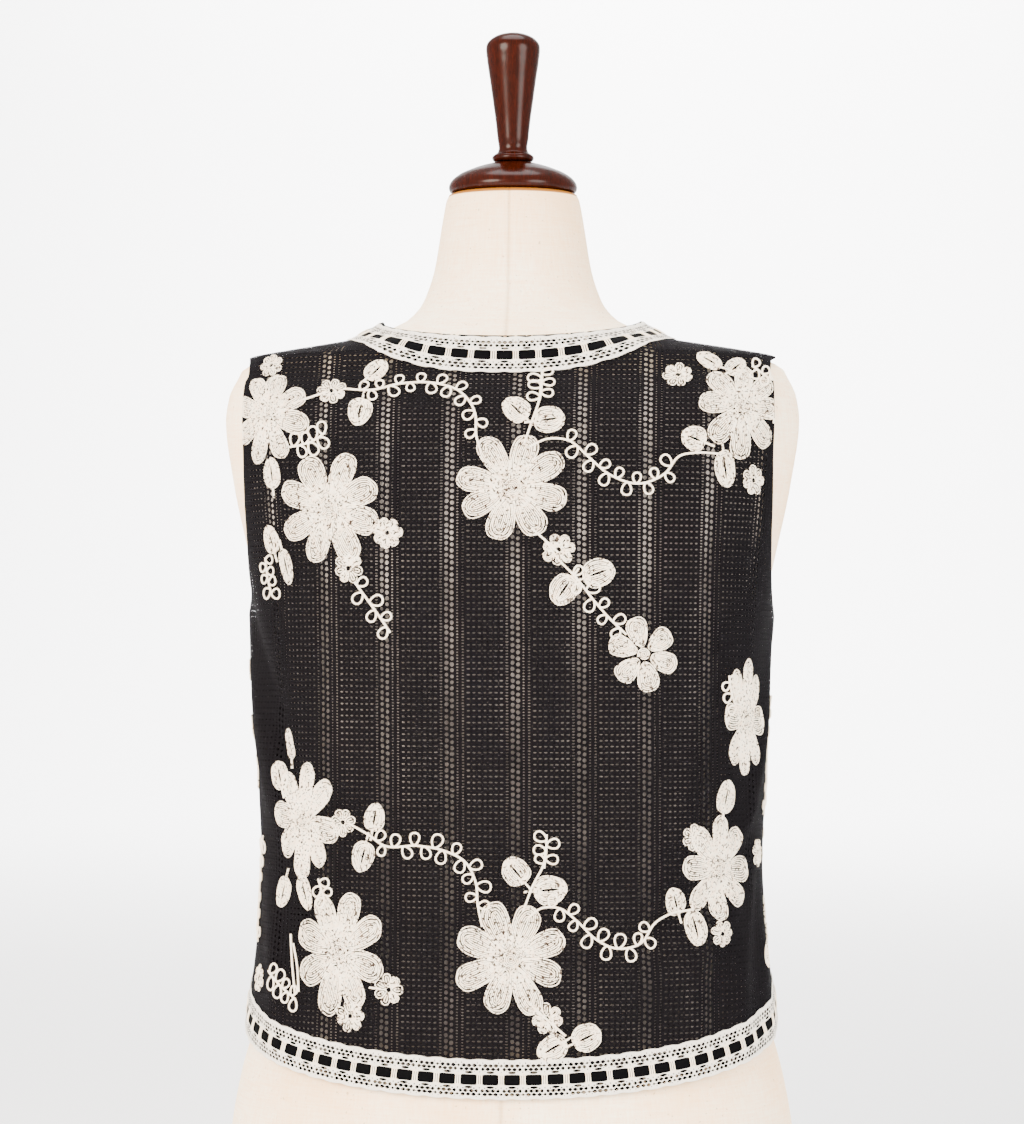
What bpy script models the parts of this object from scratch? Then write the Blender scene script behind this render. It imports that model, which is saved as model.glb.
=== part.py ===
"""A sleeveless waistcoat of black openwork knit with corded flowers, worn by a limbless dress form.

Metres, +Z up. The wearer's back faces -Y and the wearer's right side is +X.
The origin is the middle of the dress form's flat base.
An angle round the body is in degrees: 0 at the centre back, 90 at the +X side, 180 at the centre front.
"""

import math

import bmesh
import bpy
import numpy as np
from mathutils import Vector
from mathutils.bvhtree import BVHTree

# Cloth. Each panel stops SEAM_INSET degrees short of a seam, which leaves 0.3 mm or more between two.
CLOTH_THICK = 0.0015
SEAM_INSET = 0.22
BACK_HEM_HEIGHT = 0.1465
FRONT_HEM_HEIGHT = 0.1585
SIDE_HEM_HEIGHT = 0.1890
UNDERARM_HEIGHT = 0.445
SHOULDER_TIP_HEIGHT = 0.6245
NECK_POINT_HEIGHT = 0.6495
NECK_HALF_WIDTH = 0.0885
BACK_NECK_DROP = 0.0146
FRONT_NECK_DROP = 0.0975
BACK_ARMHOLE_CUT = 31.0
FRONT_ARMHOLE_CUT = 33.0

# The fronts stop this many degrees short of the centre, at the neck and at the hem
FRONT_GAP_TOP = 0.9
FRONT_GAP_HEM = 2.2
FRONT_NECK_HEIGHT = 0.57

# How many rows of cells each stretch of a panel has, from the hem up
ROWS_BELOW_ARMHOLE = 11
ROWS_BESIDE_ARMHOLE = 8
ROWS_OVER_SHOULDER = 4
BACK_COLUMNS = 30
FRONT_COLUMNS = 15

# The share of a half panel's columns that lie inside the armhole's edge all the way up,
# the angle round the body where they end, and the turn of the neck's curve where they end
INNER_SHARE = 0.6
INNER_ANGLE = 50.0
INNER_NECK_TURN = 73.0

# Heights of a panel's centre line where its armhole starts and ends
BACK_CENTRE_LEVELS = (0.432, 0.598)
FRONT_CENTRE_LEVELS = (0.425, 0.528)

# Beading lace and the ribbon threaded through it
LACE_WIDTH = 0.026
LACE_THICK = 0.0008
LACE_REPEAT = 0.0145
LACE_BAR = 0.0040
LACE_UPPER_BAND = 0.0100
LACE_LOWER_BAND = 0.0095
LACE_BELOW_HEM = 0.0095
LACE_BELOW_NECK_EDGE = 0.0012
LACE_END_BLEND = 0.020
RIBBON_WIDTH = 0.0078
RIBBON_THICK = 0.0004

# Corded flowers
CORD_THICK = 0.0012
PETAL_VALLEY = 0.52

# What lies on the cloth is this far from it, and its points are moved out at most so many times
SEAT_GAP = 0.0005
SEATING_ROUNDS = 20

# Each row is one level section: its height, then the distances from the body's axis
# to the side, to the back and to the front, how square it is (2 is an ellipse),
# and how far forward its middle lies.
FORM_SECTIONS = (
    (0.0000, 0.1860, 0.1180, 0.1080, 2.4, 0.000),
    (0.0030, 0.1895, 0.1215, 0.1110, 2.4, 0.000),
    (0.0600, 0.1945, 0.1255, 0.1130, 2.4, 0.000),
    (0.1000, 0.1912, 0.1240, 0.1120, 2.4, 0.000),
    (0.1300, 0.1862, 0.1205, 0.1110, 2.4, 0.000),
    (0.1580, 0.1790, 0.1150, 0.1090, 2.3, 0.000),
    (0.2000, 0.1600, 0.1010, 0.1030, 2.3, 0.000),
    (0.2620, 0.1350, 0.0870, 0.0930, 2.2, 0.000),
    (0.3300, 0.1450, 0.0950, 0.1000, 2.2, 0.000),
    (0.4200, 0.1640, 0.1080, 0.1090, 2.2, 0.000),
    (0.4860, 0.1790, 0.1120, 0.1050, 2.3, 0.000),
    (0.5400, 0.1905, 0.1085, 0.0940, 2.4, 0.000),
    (0.5820, 0.1960, 0.0985, 0.0805, 2.4, 0.000),
    (0.5990, 0.1935, 0.0880, 0.0700, 2.4, 0.000),
    (0.6095, 0.1885, 0.0790, 0.0620, 2.3, 0.000),
    (0.6160, 0.1850, 0.0765, 0.0580, 2.3, 0.000),
    (0.6215, 0.1750, 0.0745, 0.0555, 2.2, 0.000),
    (0.6262, 0.1510, 0.0725, 0.0540, 2.2, 0.000),
    (0.6300, 0.1280, 0.0710, 0.0530, 2.2, 0.000),
    (0.6332, 0.1075, 0.0700, 0.0522, 2.1, 0.000),
    (0.6400, 0.0930, 0.0660, 0.0510, 2.1, 0.001),
    (0.6500, 0.0725, 0.0590, 0.0498, 2.0, 0.004),
    (0.6603, 0.0630, 0.0525, 0.0485, 2.0, 0.007),
    (0.6686, 0.0592, 0.0510, 0.0480, 2.0, 0.009),
    (0.6850, 0.0541, 0.0490, 0.0475, 2.0, 0.011),
    (0.7180, 0.0486, 0.0475, 0.0470, 2.0, 0.012),
    (0.7330, 0.0458, 0.0458, 0.0458, 2.0, 0.012),
    (0.7370, 0.0440, 0.0440, 0.0440, 2.0, 0.012),
    (0.7385, 0.0405, 0.0405, 0.0405, 2.0, 0.012),
)
GARMENT_SECTIONS = (
    (0.1200, 0.1905, 0.1265, 0.1180, 2.4, 0.000),
    (0.1580, 0.1835, 0.1210, 0.1165, 2.4, 0.000),
    (0.1850, 0.1795, 0.1180, 0.1175, 2.4, 0.000),
    (0.2250, 0.1745, 0.1145, 0.1195, 2.4, 0.000),
    (0.2535, 0.1722, 0.1125, 0.1215, 2.4, 0.000),
    (0.2810, 0.1710, 0.1118, 0.1240, 2.4, 0.000),
    (0.3360, 0.1730, 0.1122, 0.1300, 2.4, 0.000),
    (0.3905, 0.1738, 0.1138, 0.1360, 2.4, 0.000),
    (0.4180, 0.1752, 0.1148, 0.1375, 2.4, 0.000),
    (0.4450, 0.1778, 0.1158, 0.1345, 2.4, 0.000),
    (0.4730, 0.1805, 0.1160, 0.1275, 2.4, 0.000),
    (0.5000, 0.1848, 0.1152, 0.1180, 2.4, 0.000),
    (0.5275, 0.1905, 0.1128, 0.1075, 2.4, 0.000),
    (0.5550, 0.1953, 0.1090, 0.1000, 2.4, 0.000),
    (0.5820, 0.1986, 0.1030, 0.0898, 2.4, 0.000),
    (0.5950, 0.1978, 0.0965, 0.0825, 2.4, 0.000),
    (0.6050, 0.1955, 0.0890, 0.0765, 2.4, 0.000),
    (0.6100, 0.1930, 0.0855, 0.0738, 2.3, 0.000),
    (0.6165, 0.1890, 0.0825, 0.0700, 2.3, 0.000),
    (0.6210, 0.1850, 0.0808, 0.0672, 2.3, 0.000),
    (0.6245, 0.1800, 0.0796, 0.0645, 2.3, 0.000),
    (0.6290, 0.1570, 0.0782, 0.0612, 2.2, 0.000),
    (0.6325, 0.1340, 0.0770, 0.0595, 2.2, 0.000),
    (0.6360, 0.1130, 0.0758, 0.0580, 2.2, 0.000),
    (0.6420, 0.1000, 0.0735, 0.0555, 2.1, 0.000),
    (0.6495, 0.0885, 0.0700, 0.0535, 2.1, 0.002),
    (0.6600, 0.0780, 0.0660, 0.0520, 2.1, 0.004),
)

# The bust of the form: sideways place, height, radius and how far it stands out
BUST_SIDE = 0.078
BUST_HEIGHT = 0.418
BUST_RADIUS = 0.052
BUST_RISE = 0.020

# One degree round the body is about this far along the cloth
METRES_PER_DEGREE = 0.00264

# A fold is lower at its ends: this share of a half wave is left off there
FOLD_FADE = 0.15

# The largest folds: from and to, as angle round the body and height; the fold's half width;
# how far it stands out, or in where negative.
FOLDS = (
    (-84.0, 0.440, -58.0, 0.330, 0.016, 0.0045),
    (-74.0, 0.455, -50.0, 0.350, 0.013, -0.0035),
    (-62.0, 0.250, -52.0, 0.175, 0.012, 0.0030),
    (62.0, 0.290, 26.0, 0.225, 0.012, -0.0040),
    (58.0, 0.262, 34.0, 0.205, 0.013, 0.0040),
    (44.0, 0.215, 40.0, 0.168, 0.010, 0.0030),
    (58.0, 0.230, 55.0, 0.172, 0.011, 0.0035),
    (74.0, 0.250, 70.0, 0.175, 0.012, 0.0030),
    (82.0, 0.430, 70.0, 0.330, 0.015, 0.0035),
    (150.0, 0.380, 147.0, 0.175, 0.016, 0.0045),
    (128.0, 0.360, 124.0, 0.180, 0.015, 0.0040),
    (-149.0, 0.385, -146.0, 0.175, 0.016, 0.0045),
    (-126.0, 0.365, -121.0, 0.180, 0.015, 0.0040),
)

# Turned wood, as radius and height above the base. The cap sits on the neck and carries the handle.
NECK_AXIS_Y = 0.012
CAP_PROFILE = (
    (0.0000, 0.7600),
    (0.0150, 0.7598),
    (0.0316, 0.7555),
    (0.0386, 0.7520),
    (0.0430, 0.7475),
    (0.0441, 0.7440),
    (0.0435, 0.7410),
    (0.0425, 0.7388),
    (0.0000, 0.7388),
)
HANDLE_PROFILE = (
    (0.0000, 0.8493),
    (0.0070, 0.8488),
    (0.0140, 0.8470),
    (0.0178, 0.8442),
    (0.0186, 0.8410),
    (0.0177, 0.8350),
    (0.0150, 0.8180),
    (0.0122, 0.8000),
    (0.0102, 0.7830),
    (0.0097, 0.7715),
    (0.0110, 0.7695),
    (0.0134, 0.7672),
    (0.0138, 0.7640),
    (0.0130, 0.7612),
    (0.0100, 0.7603),
    (0.0000, 0.7603),
)

# How many sides the turned pieces and the form have
TURNED_STEPS = 20
FORM_SIDES = 32

# Each corded flower: angle round the body, height, petal length, how many petals, and its turn
FLOWERS = (
    (2.0, 0.5335, 0.0355, 8, 8.0),
    (47.8, 0.5840, 0.0295, 8, 20.0),
    (-35.0, 0.5205, 0.0370, 8, 2.0),
    (30.0, 0.4250, 0.0240, 6, 12.0),
    (-46.8, 0.3135, 0.0365, 8, 15.0),
    (-36.0, 0.2290, 0.0365, 8, 5.0),
    (2.0, 0.2270, 0.0355, 8, 0.0),
    (51.5, 0.2830, 0.0310, 8, 22.0),
    (61.0, 0.3800, 0.0340, 8, 18.0),
    (144.0, 0.4550, 0.0345, 8, 6.0),
    (117.0, 0.3450, 0.0340, 8, 14.0),
    (152.0, 0.2500, 0.0345, 8, 0.0),
    (-143.0, 0.4620, 0.0345, 8, 12.0),
    (-118.0, 0.3380, 0.0340, 8, 4.0),
    (-151.0, 0.2440, 0.0345, 8, 16.0),
)

COLOURS = {
    "knit": ((0.012, 0.011, 0.014), 0.85, 0.0),
    "lace": ((0.86, 0.83, 0.78), 0.80, 0.0),
    "ribbon": ((0.008, 0.008, 0.010), 0.45, 0.0),
    "cord": ((0.83, 0.77, 0.70), 0.75, 0.0),
    "linen": ((0.82, 0.76, 0.69), 0.90, 0.0),
    "mahogany": ((0.13, 0.022, 0.010), 0.22, 0.0),
}


def smooth_column(heights, values, at):
    """A curve through the table's values that never overshoots them."""
    step = np.diff(heights)
    rise = np.diff(values) / step
    product = rise[:-1] * rise[1:]
    total = np.where(rise[:-1] + rise[1:] == 0, 1.0, rise[:-1] + rise[1:])
    inner = np.where(product > 0, 2 * product / total, 0.0)
    slope = np.concatenate([[rise[0]], inner, [rise[-1]]])
    i = np.clip(np.searchsorted(heights, at) - 1, 0, len(step) - 1)
    t = np.clip((at - heights[i]) / step[i], 0, 1)
    start = (1 + 2 * t) * (1 - t) ** 2 * values[i] + t * (1 - t) ** 2 * step[i] * slope[i]
    end = t * t * (3 - 2 * t) * values[i + 1] - t * t * (1 - t) * step[i] * slope[i + 1]
    return start + end


def section_points(sections, angle, height):
    """Points on the level sections of a body, at these angles and heights."""
    table = np.array(sections)
    angle, height = np.broadcast_arrays(np.asarray(angle, float), np.asarray(height, float))
    side, back, front, square, middle = (
        smooth_column(table[:, 0], table[:, k], height) for k in range(1, 6)
    )
    turn = np.radians(angle)
    sine, cosine = np.sin(turn), np.cos(turn)
    reach = (np.abs(sine) ** square + np.abs(cosine) ** square) ** (-1 / square)
    depth = np.where(cosine > 0, back, front)
    return np.stack([side * sine * reach, middle - depth * cosine * reach, height], -1)


def bust_rise(points):
    """How far the form's bust stands out at each point."""
    across = (np.abs(points[..., 0]) - BUST_SIDE) / BUST_RADIUS
    up = (points[..., 2] - BUST_HEIGHT) / BUST_RADIUS
    return np.where(points[..., 1] > 0, BUST_RISE * np.exp(-(across**2) - up**2), 0.0)


def fold_rise(angle, height):
    """How far the cloth stands out at each place, from all the folds."""
    x, y = np.asarray(angle) * METRES_PER_DEGREE, np.asarray(height)
    total = np.zeros(np.broadcast(x, y).shape)
    for from_angle, from_height, to_angle, to_height, half_width, rise in FOLDS:
        start = np.array([from_angle * METRES_PER_DEGREE, from_height])
        way = np.array([to_angle * METRES_PER_DEGREE, to_height]) - start
        long = math.hypot(*way)
        along = ((x - start[0]) * way[0] + (y - start[1]) * way[1]) / long**2
        off = ((x - start[0]) * way[1] - (y - start[1]) * way[0]) / long / half_width
        ends = np.clip(along, 0, 1)
        past = (along - ends) * long / (2 * half_width)
        swell = np.sin(math.pi * (FOLD_FADE + (1 - 2 * FOLD_FADE) * ends))
        total = total + rise * swell * np.exp(-(off**2) - past**2)
    return total


def outward(points_at, angle, height):
    """Unit normals of a body's surface."""
    da, dz = 0.2, 0.0004
    round_it = points_at(angle + da, height) - points_at(angle - da, height)
    up_it = points_at(angle, height + dz) - points_at(angle, height - dz)
    normal = np.cross(round_it, up_it)
    return normal / np.linalg.norm(normal, axis=-1, keepdims=True)


def garment_points(angle, height):
    """Points on the outside of the cloth."""

    def plain(a, z):
        return section_points(GARMENT_SECTIONS, a, z)

    normal = outward(plain, np.asarray(angle, float), np.asarray(height, float))
    return plain(angle, height) + normal * fold_rise(angle, height)[..., None]


def angle_at(x, height, front):
    """The angle at which the garment's section is this far from its middle plane."""
    steps = np.linspace(0, 90, 181)
    angles = 180 - steps if front else steps
    sideways = section_points(GARMENT_SECTIONS, angles, height)[:, 0]
    return float(np.interp(x, sideways, steps))


def panel_places(columns, front, below_hem=0):
    """(angle from the panel's centre, height) for each row and column of half a panel.

    Rows run from the hem to the neck, with below_hem more under the hem. Columns run from the
    centre to the side seam, the armhole's edge and then the shoulder seam. Those inside
    INNER_ANGLE keep their angles from the hem to the shoulder, and the rest follow the edge.
    """
    centre_levels = FRONT_CENTRE_LEVELS if front else BACK_CENTRE_LEVELS
    hem = FRONT_HEM_HEIGHT if front else BACK_HEM_HEIGHT
    cut = FRONT_ARMHOLE_CUT if front else BACK_ARMHOLE_CUT
    drop = FRONT_NECK_DROP if front else BACK_NECK_DROP
    inner_count = round(columns * INNER_SHARE)
    inner = np.linspace(0, 1, inner_count + 1)
    outer = np.linspace(0, 1, columns - inner_count + 1)[1:]
    lean = np.concatenate([(1 - np.cos(math.pi * inner)) / 2, np.ones(len(outer))])

    def angles_to(edge):
        return np.concatenate([inner * INNER_ANGLE, INNER_ANGLE + (edge - INNER_ANGLE) * outer])

    dip = 1 - np.cos(np.radians(angles_to(90)))
    rows = []
    for i in range(-below_hem, ROWS_BELOW_ARMHOLE):
        t = i / ROWS_BELOW_ARMHOLE
        centre = hem + (centre_levels[0] - hem) * t
        side = SIDE_HEM_HEIGHT + (UNDERARM_HEIGHT - SIDE_HEM_HEIGHT) * t
        rows.append((angles_to(90), centre + (side - centre) * (dip * (1 - t) + lean * t)))
    for i in range(ROWS_BESIDE_ARMHOLE):
        t = i / ROWS_BESIDE_ARMHOLE
        centre = centre_levels[0] + (centre_levels[1] - centre_levels[0]) * t
        rise = (1 - math.cos(math.pi * t)) / 2
        side = UNDERARM_HEIGHT + (SHOULDER_TIP_HEIGHT - UNDERARM_HEIGHT) * rise
        edge = 90 - cut * math.sin(math.pi * t**1.8) ** 0.5
        rows.append((angles_to(edge), centre + (side - centre) * lean))
    turn = np.radians(
        np.concatenate([inner * INNER_NECK_TURN, INNER_NECK_TURN + (90 - INNER_NECK_TURN) * outer])
    )
    neck_x = NECK_HALF_WIDTH * np.sin(turn)
    neck_z = NECK_POINT_HEIGHT - drop * np.cos(turn)
    neck_a = np.array([angle_at(x, z, front) for x, z in zip(neck_x, neck_z)])
    tip_z = centre_levels[1] + (SHOULDER_TIP_HEIGHT - centre_levels[1]) * lean
    for i in range(ROWS_OVER_SHOULDER + 1):
        t = i / ROWS_OVER_SHOULDER
        rows.append((angles_to(90) * (1 - t) + neck_a * t, tip_z * (1 - t) + neck_z * t))
    angles, heights = (np.array(x) for x in zip(*rows))
    angles = angles * (1 - SEAM_INSET / 90)
    if front:
        gap = np.interp(heights, (FRONT_HEM_HEIGHT, FRONT_NECK_HEIGHT), (FRONT_GAP_HEM, FRONT_GAP_TOP))
        angles = 180 - gap - angles * (1 - gap / (90 - SEAM_INSET))
    return angles, heights


def material(name):
    """A plain stand-in for the real finish."""
    colour, roughness, metallic = COLOURS[name]
    made = bpy.data.materials.get(name) or bpy.data.materials.new(name)
    made.use_nodes = True
    shader = made.node_tree.nodes["Principled BSDF"]
    shader.inputs["Base Color"].default_value = (*colour, 1)
    shader.inputs["Roughness"].default_value = roughness
    shader.inputs["Metallic"].default_value = metallic
    return made


def add_object(name, mesh, finish):
    """Puts a mesh in the waistcoat's collection, in its finish."""
    made = bpy.data.objects.new(name, mesh)
    bpy.data.collections["waistcoat"].objects.link(made)
    mesh.materials.append(material(finish))
    return made


def finish_mesh(bm, name):
    mesh = bpy.data.meshes.new(name)
    bm.to_mesh(mesh)
    bm.free()
    mesh.shade_smooth()
    return mesh


def add_wall(made, thick, offset):
    """Gives an open sheet its thickness: inwards for offset -1, outwards for 1."""
    wall = made.modifiers.new("wall", "SOLIDIFY")
    wall.thickness = thick
    wall.offset = offset


def grid_sheet(points, drop_face=None):
    """A sheet of square cells through rows of points. drop_face(row, column) leaves a cell out."""
    rows, columns = points.shape[:2]
    bm = bmesh.new()
    bmesh.ops.create_grid(bm, x_segments=columns - 1, y_segments=rows - 1, size=1)
    placed = sorted(bm.verts, key=lambda v: (round(v.co.y, 5), v.co.x))
    row_of = {v: i // columns for i, v in enumerate(placed)}
    column_of = {v: i % columns for i, v in enumerate(placed)}
    if drop_face:
        left_out = [
            f
            for f in bm.faces
            if drop_face(min(row_of[v] for v in f.verts), min(column_of[v] for v in f.verts))
        ]
        bmesh.ops.delete(bm, geom=left_out, context="FACES")
    for v in bm.verts:
        v.co = points[row_of[v], column_of[v]]
    return bm


def panels(below_hem=0):
    """Points of each panel. Columns run with the angle, so that faces point out."""
    half_angles, half_heights = panel_places(BACK_COLUMNS // 2, False, below_hem)
    back_angles = np.concatenate([-half_angles[:, :0:-1], half_angles], 1)
    back_heights = np.concatenate([half_heights[:, :0:-1], half_heights], 1)
    front_angles, front_heights = panel_places(FRONT_COLUMNS, True, below_hem)
    return {
        "back_panel": garment_points(back_angles, back_heights),
        "front_left": garment_points(-front_angles, front_heights),
        "front_right": garment_points(front_angles[:, ::-1], front_heights[:, ::-1]),
    }


def add_panels():
    for name, points in panels().items():
        made = add_object(name, finish_mesh(grid_sheet(points), name), "knit")
        add_wall(made, CLOTH_THICK, -1)


def surface_tree(sheets):
    """A search tree over the outer faces of some open sheets, which stay as they are."""
    joined = bmesh.new()
    for sheet in sheets:
        mesh = bpy.data.meshes.new("sheet")
        sheet.to_mesh(mesh)
        joined.from_mesh(mesh)
        bpy.data.meshes.remove(mesh)
    tree = BVHTree.FromBMesh(joined)
    joined.free()
    return tree


def test_points(sheet):
    """Points along each edge and inside each face, with the corners that carry them."""
    for edge in sheet.edges:
        start, end = edge.verts
        for share in (0.125, 0.25, 0.375, 0.5, 0.625, 0.75, 0.875):
            yield edge.verts, start.co.lerp(end.co, share)
    for face in sheet.faces:
        middle = face.calc_center_median()
        yield face.verts, middle
        for v in face.verts:
            yield face.verts, v.co.lerp(middle, 0.5)


def seat(sheet, cloth, lift, over=None):
    """Lays a sheet on the cloth, then moves its points out until no face cuts into what it covers."""
    over = over or cloth
    outwards = {}
    for v in sheet.verts:
        place, normal, _, _ = cloth.find_nearest(v.co)
        outwards[v] = normal
        v.co = place + normal * lift
    for _ in range(SEATING_ROUNDS):
        sunk = {}
        for verts, point in test_points(sheet):
            place, normal, _, _ = over.find_nearest(point)
            short = SEAT_GAP - (point - place).dot(normal)
            for v in verts:
                sunk[v] = max(sunk.get(v, 0), short)
        for v, short in sunk.items():
            v.co += outwards[v] * max(short, 0)
        if max(sunk.values()) < SEAT_GAP / 10:
            break


def stations_along(path, spans):
    """Points along a path, with these spans between them, fitted to its length."""
    lengths = np.concatenate([[0], np.cumsum(np.linalg.norm(np.diff(path, axis=0), axis=1))])
    stations = np.concatenate([[0], np.cumsum(spans)])
    stations *= lengths[-1] / stations[-1]
    return np.stack([np.interp(stations, lengths, path[:, k]) for k in range(3)], -1), stations


def unit(rows):
    return rows / np.linalg.norm(rows, axis=-1, keepdims=True)


def edge_strip(panel, at_hem, offsets, spans, cloth, left_out=None):
    """A sheet along a panel's hem or neck edge, at these distances into the panel.

    Its ends run along the panel's own first and last columns, so that strips meet at the seams.
    """
    path, inner = (panel[0], panel[1]) if at_hem else (panel[-1], panel[-2])
    middle, stations = stations_along(path, spans)
    along = unit(np.gradient(middle, axis=0))
    normal = np.array([cloth.find_nearest(Vector(p))[1] for p in middle])
    inwards = unit(np.cross(normal, along)) * (1 if at_hem else -1)
    for end, place in ((0, 0.0), (-1, stations[-1])):
        share = np.exp(-(((stations - place) / LACE_END_BLEND) ** 2))[:, None]
        inwards = unit(inwards * (1 - share) + unit(inner[end] - path[end]) * share)
    return grid_sheet(np.array([middle + inwards * d for d in offsets]), left_out)


def lace_spans(length):
    """Bar and slot in turn, with half a bar at each end."""
    count = round(length / LACE_REPEAT)
    slot = LACE_REPEAT - LACE_BAR
    return [LACE_BAR / 2] + [slot, LACE_BAR] * (count - 1) + [slot, LACE_BAR / 2]


def add_lace(name, panel, at_hem, cloth):
    """Beading lace along one edge of a panel, and the ribbon behind its slots."""
    path = panel[0] if at_hem else panel[-1]
    spans = lace_spans(float(np.linalg.norm(np.diff(path, axis=0), axis=1).sum()))
    low = -LACE_BELOW_HEM if at_hem else LACE_BELOW_NECK_EDGE + LACE_WIDTH
    up = 1 if at_hem else -1
    slot_foot = low + up * LACE_LOWER_BAND
    slot_head = low + up * (LACE_WIDTH - LACE_UPPER_BAND)
    slot_middle = (slot_foot + slot_head) / 2
    half = up * RIBBON_WIDTH / 2

    ribbon = edge_strip(panel, at_hem, (slot_middle - half, slot_middle + half), spans, cloth)
    seat(ribbon, cloth, SEAT_GAP)
    ribbon_face = ribbon.copy()
    for v in ribbon_face.verts:
        v.co += cloth.find_nearest(v.co)[1] * RIBBON_THICK
    under_lace = surface_tree([ribbon_face, *cloth_sheets()])
    ribbon_face.free()
    made = add_object(name + "_ribbon", finish_mesh(ribbon, name + "_ribbon"), "ribbon")
    add_wall(made, RIBBON_THICK, 1)

    rows = (low, slot_foot, slot_head, low + up * LACE_WIDTH)
    lace = edge_strip(
        panel, at_hem, rows, spans, cloth, lambda row, column: row == 1 and column % 2 == 1
    )
    seat(lace, cloth, 2 * SEAT_GAP + RIBBON_THICK, under_lace)
    made = add_object(name + "_lace", finish_mesh(lace, name + "_lace"), "lace")
    add_wall(made, LACE_THICK, 1)


def cloth_sheets():
    """The outside of the cloth, carried on one row below the hem."""
    return [grid_sheet(points) for points in panels(below_hem=1).values()]


def petal_reach(turn, petals):
    """How far a flower's outline lies from its middle, as a share of its petals' length."""
    across = (turn * petals / math.tau) % 1 - 0.5
    return PETAL_VALLEY + (1 - PETAL_VALLEY) * math.cos(math.pi * across) ** 0.7


def add_flower(number, angle, height, petal, petals, turn, cloth):
    """A corded flower as one thin plate with petals, lying on the cloth."""
    name = f"flower_{number:02d}"
    bm = bmesh.new()
    bmesh.ops.create_circle(bm, cap_ends=True, cap_tris=True, segments=3 * petals, radius=petal)
    spokes = [e for e in bm.edges if not e.is_boundary]
    bmesh.ops.subdivide_edges(bm, edges=spokes, cuts=1)
    middle = garment_points(angle, height)
    normal = outward(garment_points, np.array(angle), np.array(height))
    right = unit(np.cross([0.0, 0.0, 1.0], normal))
    up = np.cross(normal, right)
    for v in bm.verts:
        turned = math.atan2(v.co.y, v.co.x) + math.radians(turn)
        reach = v.co.xy.length
        if v.is_boundary:
            reach *= petal_reach(turned - math.radians(turn), petals)
        place = middle + right * reach * math.cos(turned) + up * reach * math.sin(turned)
        v.co = Vector(place)
    seat(bm, cloth, SEAT_GAP)
    made = add_object(name, finish_mesh(bm, name), "cord")
    add_wall(made, CORD_THICK, 1)


def add_form():
    """The limbless linen form: hips, waist, bust, sloping shoulders and neck."""
    heights = np.array([row[0] for row in FORM_SECTIONS])
    angles = np.linspace(0, 360, FORM_SIDES + 1)
    points = section_points(FORM_SECTIONS, angles[None, :], heights[:, None])
    points[..., 1] += bust_rise(points)
    bm = grid_sheet(points)
    bmesh.ops.remove_doubles(bm, verts=bm.verts, dist=0.00001)
    bmesh.ops.holes_fill(bm, edges=[e for e in bm.edges if e.is_boundary], sides=0)
    bmesh.ops.recalc_face_normals(bm, faces=bm.faces)
    add_object("form_torso", finish_mesh(bm, "form_torso"), "linen")


def add_turned(name, profile):
    """A piece turned in wood about the form's neck."""
    mesh = bpy.data.meshes.new(name)
    edges = [(i, i + 1) for i in range(len(profile) - 1)]
    mesh.from_pydata([(radius, 0, height) for radius, height in profile], edges, [])
    made = add_object(name, mesh, "mahogany")
    made.location.y = NECK_AXIS_Y
    screw = made.modifiers.new("turned", "SCREW")
    screw.steps = screw.render_steps = TURNED_STEPS
    screw.use_merge_vertices = True
    screw.merge_threshold = 0.00001
    screw.use_smooth_shade = True


def clear_scene():
    for made in list(bpy.data.objects):
        bpy.data.objects.remove(made, do_unlink=True)
    for collection in list(bpy.data.collections):
        bpy.data.collections.remove(collection)
    collection = bpy.data.collections.new("waistcoat")
    bpy.context.scene.collection.children.link(collection)


def main():
    clear_scene()
    add_form()
    add_turned("neck_cap", CAP_PROFILE)
    add_turned("cap_handle", HANDLE_PROFILE)
    add_panels()
    cloth = surface_tree(cloth_sheets())
    for name, panel in panels().items():
        part = name.replace("_panel", "")
        add_lace("neck_" + part, panel, False, cloth)
        add_lace("hem_" + part, panel, True, cloth)
    for number, motif in enumerate(FLOWERS, 1):
        add_flower(number, *motif, cloth)


main()
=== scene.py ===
# %% [markdown]
# # A black openwork waistcoat with corded flowers, on a linen dress form
# This lesson dresses a plain model of the waistcoat: the knit with its rows of eyelets, the cream
# cords sewn on it, the crochet lace with a black ribbon through it, and the form that wears it.
# Everything is in metres. The wearer's back faces -Y, and the wearer's right side is +X.

# %% Load the plain model
import math

import bpy
import numpy as np
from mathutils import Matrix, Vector
from mathutils.bvhtree import BVHTree


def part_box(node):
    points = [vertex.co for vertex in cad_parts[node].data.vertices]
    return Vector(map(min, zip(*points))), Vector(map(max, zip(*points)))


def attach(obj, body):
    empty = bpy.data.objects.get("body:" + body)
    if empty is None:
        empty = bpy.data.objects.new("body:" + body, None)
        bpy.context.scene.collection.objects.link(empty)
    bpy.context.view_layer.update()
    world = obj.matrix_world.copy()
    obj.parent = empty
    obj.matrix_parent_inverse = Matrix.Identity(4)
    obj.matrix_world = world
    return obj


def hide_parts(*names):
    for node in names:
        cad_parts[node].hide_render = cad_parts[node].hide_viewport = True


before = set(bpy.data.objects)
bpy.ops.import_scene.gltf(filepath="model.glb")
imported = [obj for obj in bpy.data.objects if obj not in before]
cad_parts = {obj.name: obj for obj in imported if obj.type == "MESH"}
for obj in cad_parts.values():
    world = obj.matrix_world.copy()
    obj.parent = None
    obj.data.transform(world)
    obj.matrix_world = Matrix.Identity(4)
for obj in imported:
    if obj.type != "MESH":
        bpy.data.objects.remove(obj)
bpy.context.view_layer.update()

print("nodes to dress:", len(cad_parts))

# %% [markdown]
# ## Colours and nodes
# A colour picked from a screen is sRGB, and a shader wants linear light, so one function turns it.
# A second one adds a node, sets it and links it, so that each material reads from top to bottom.

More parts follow.
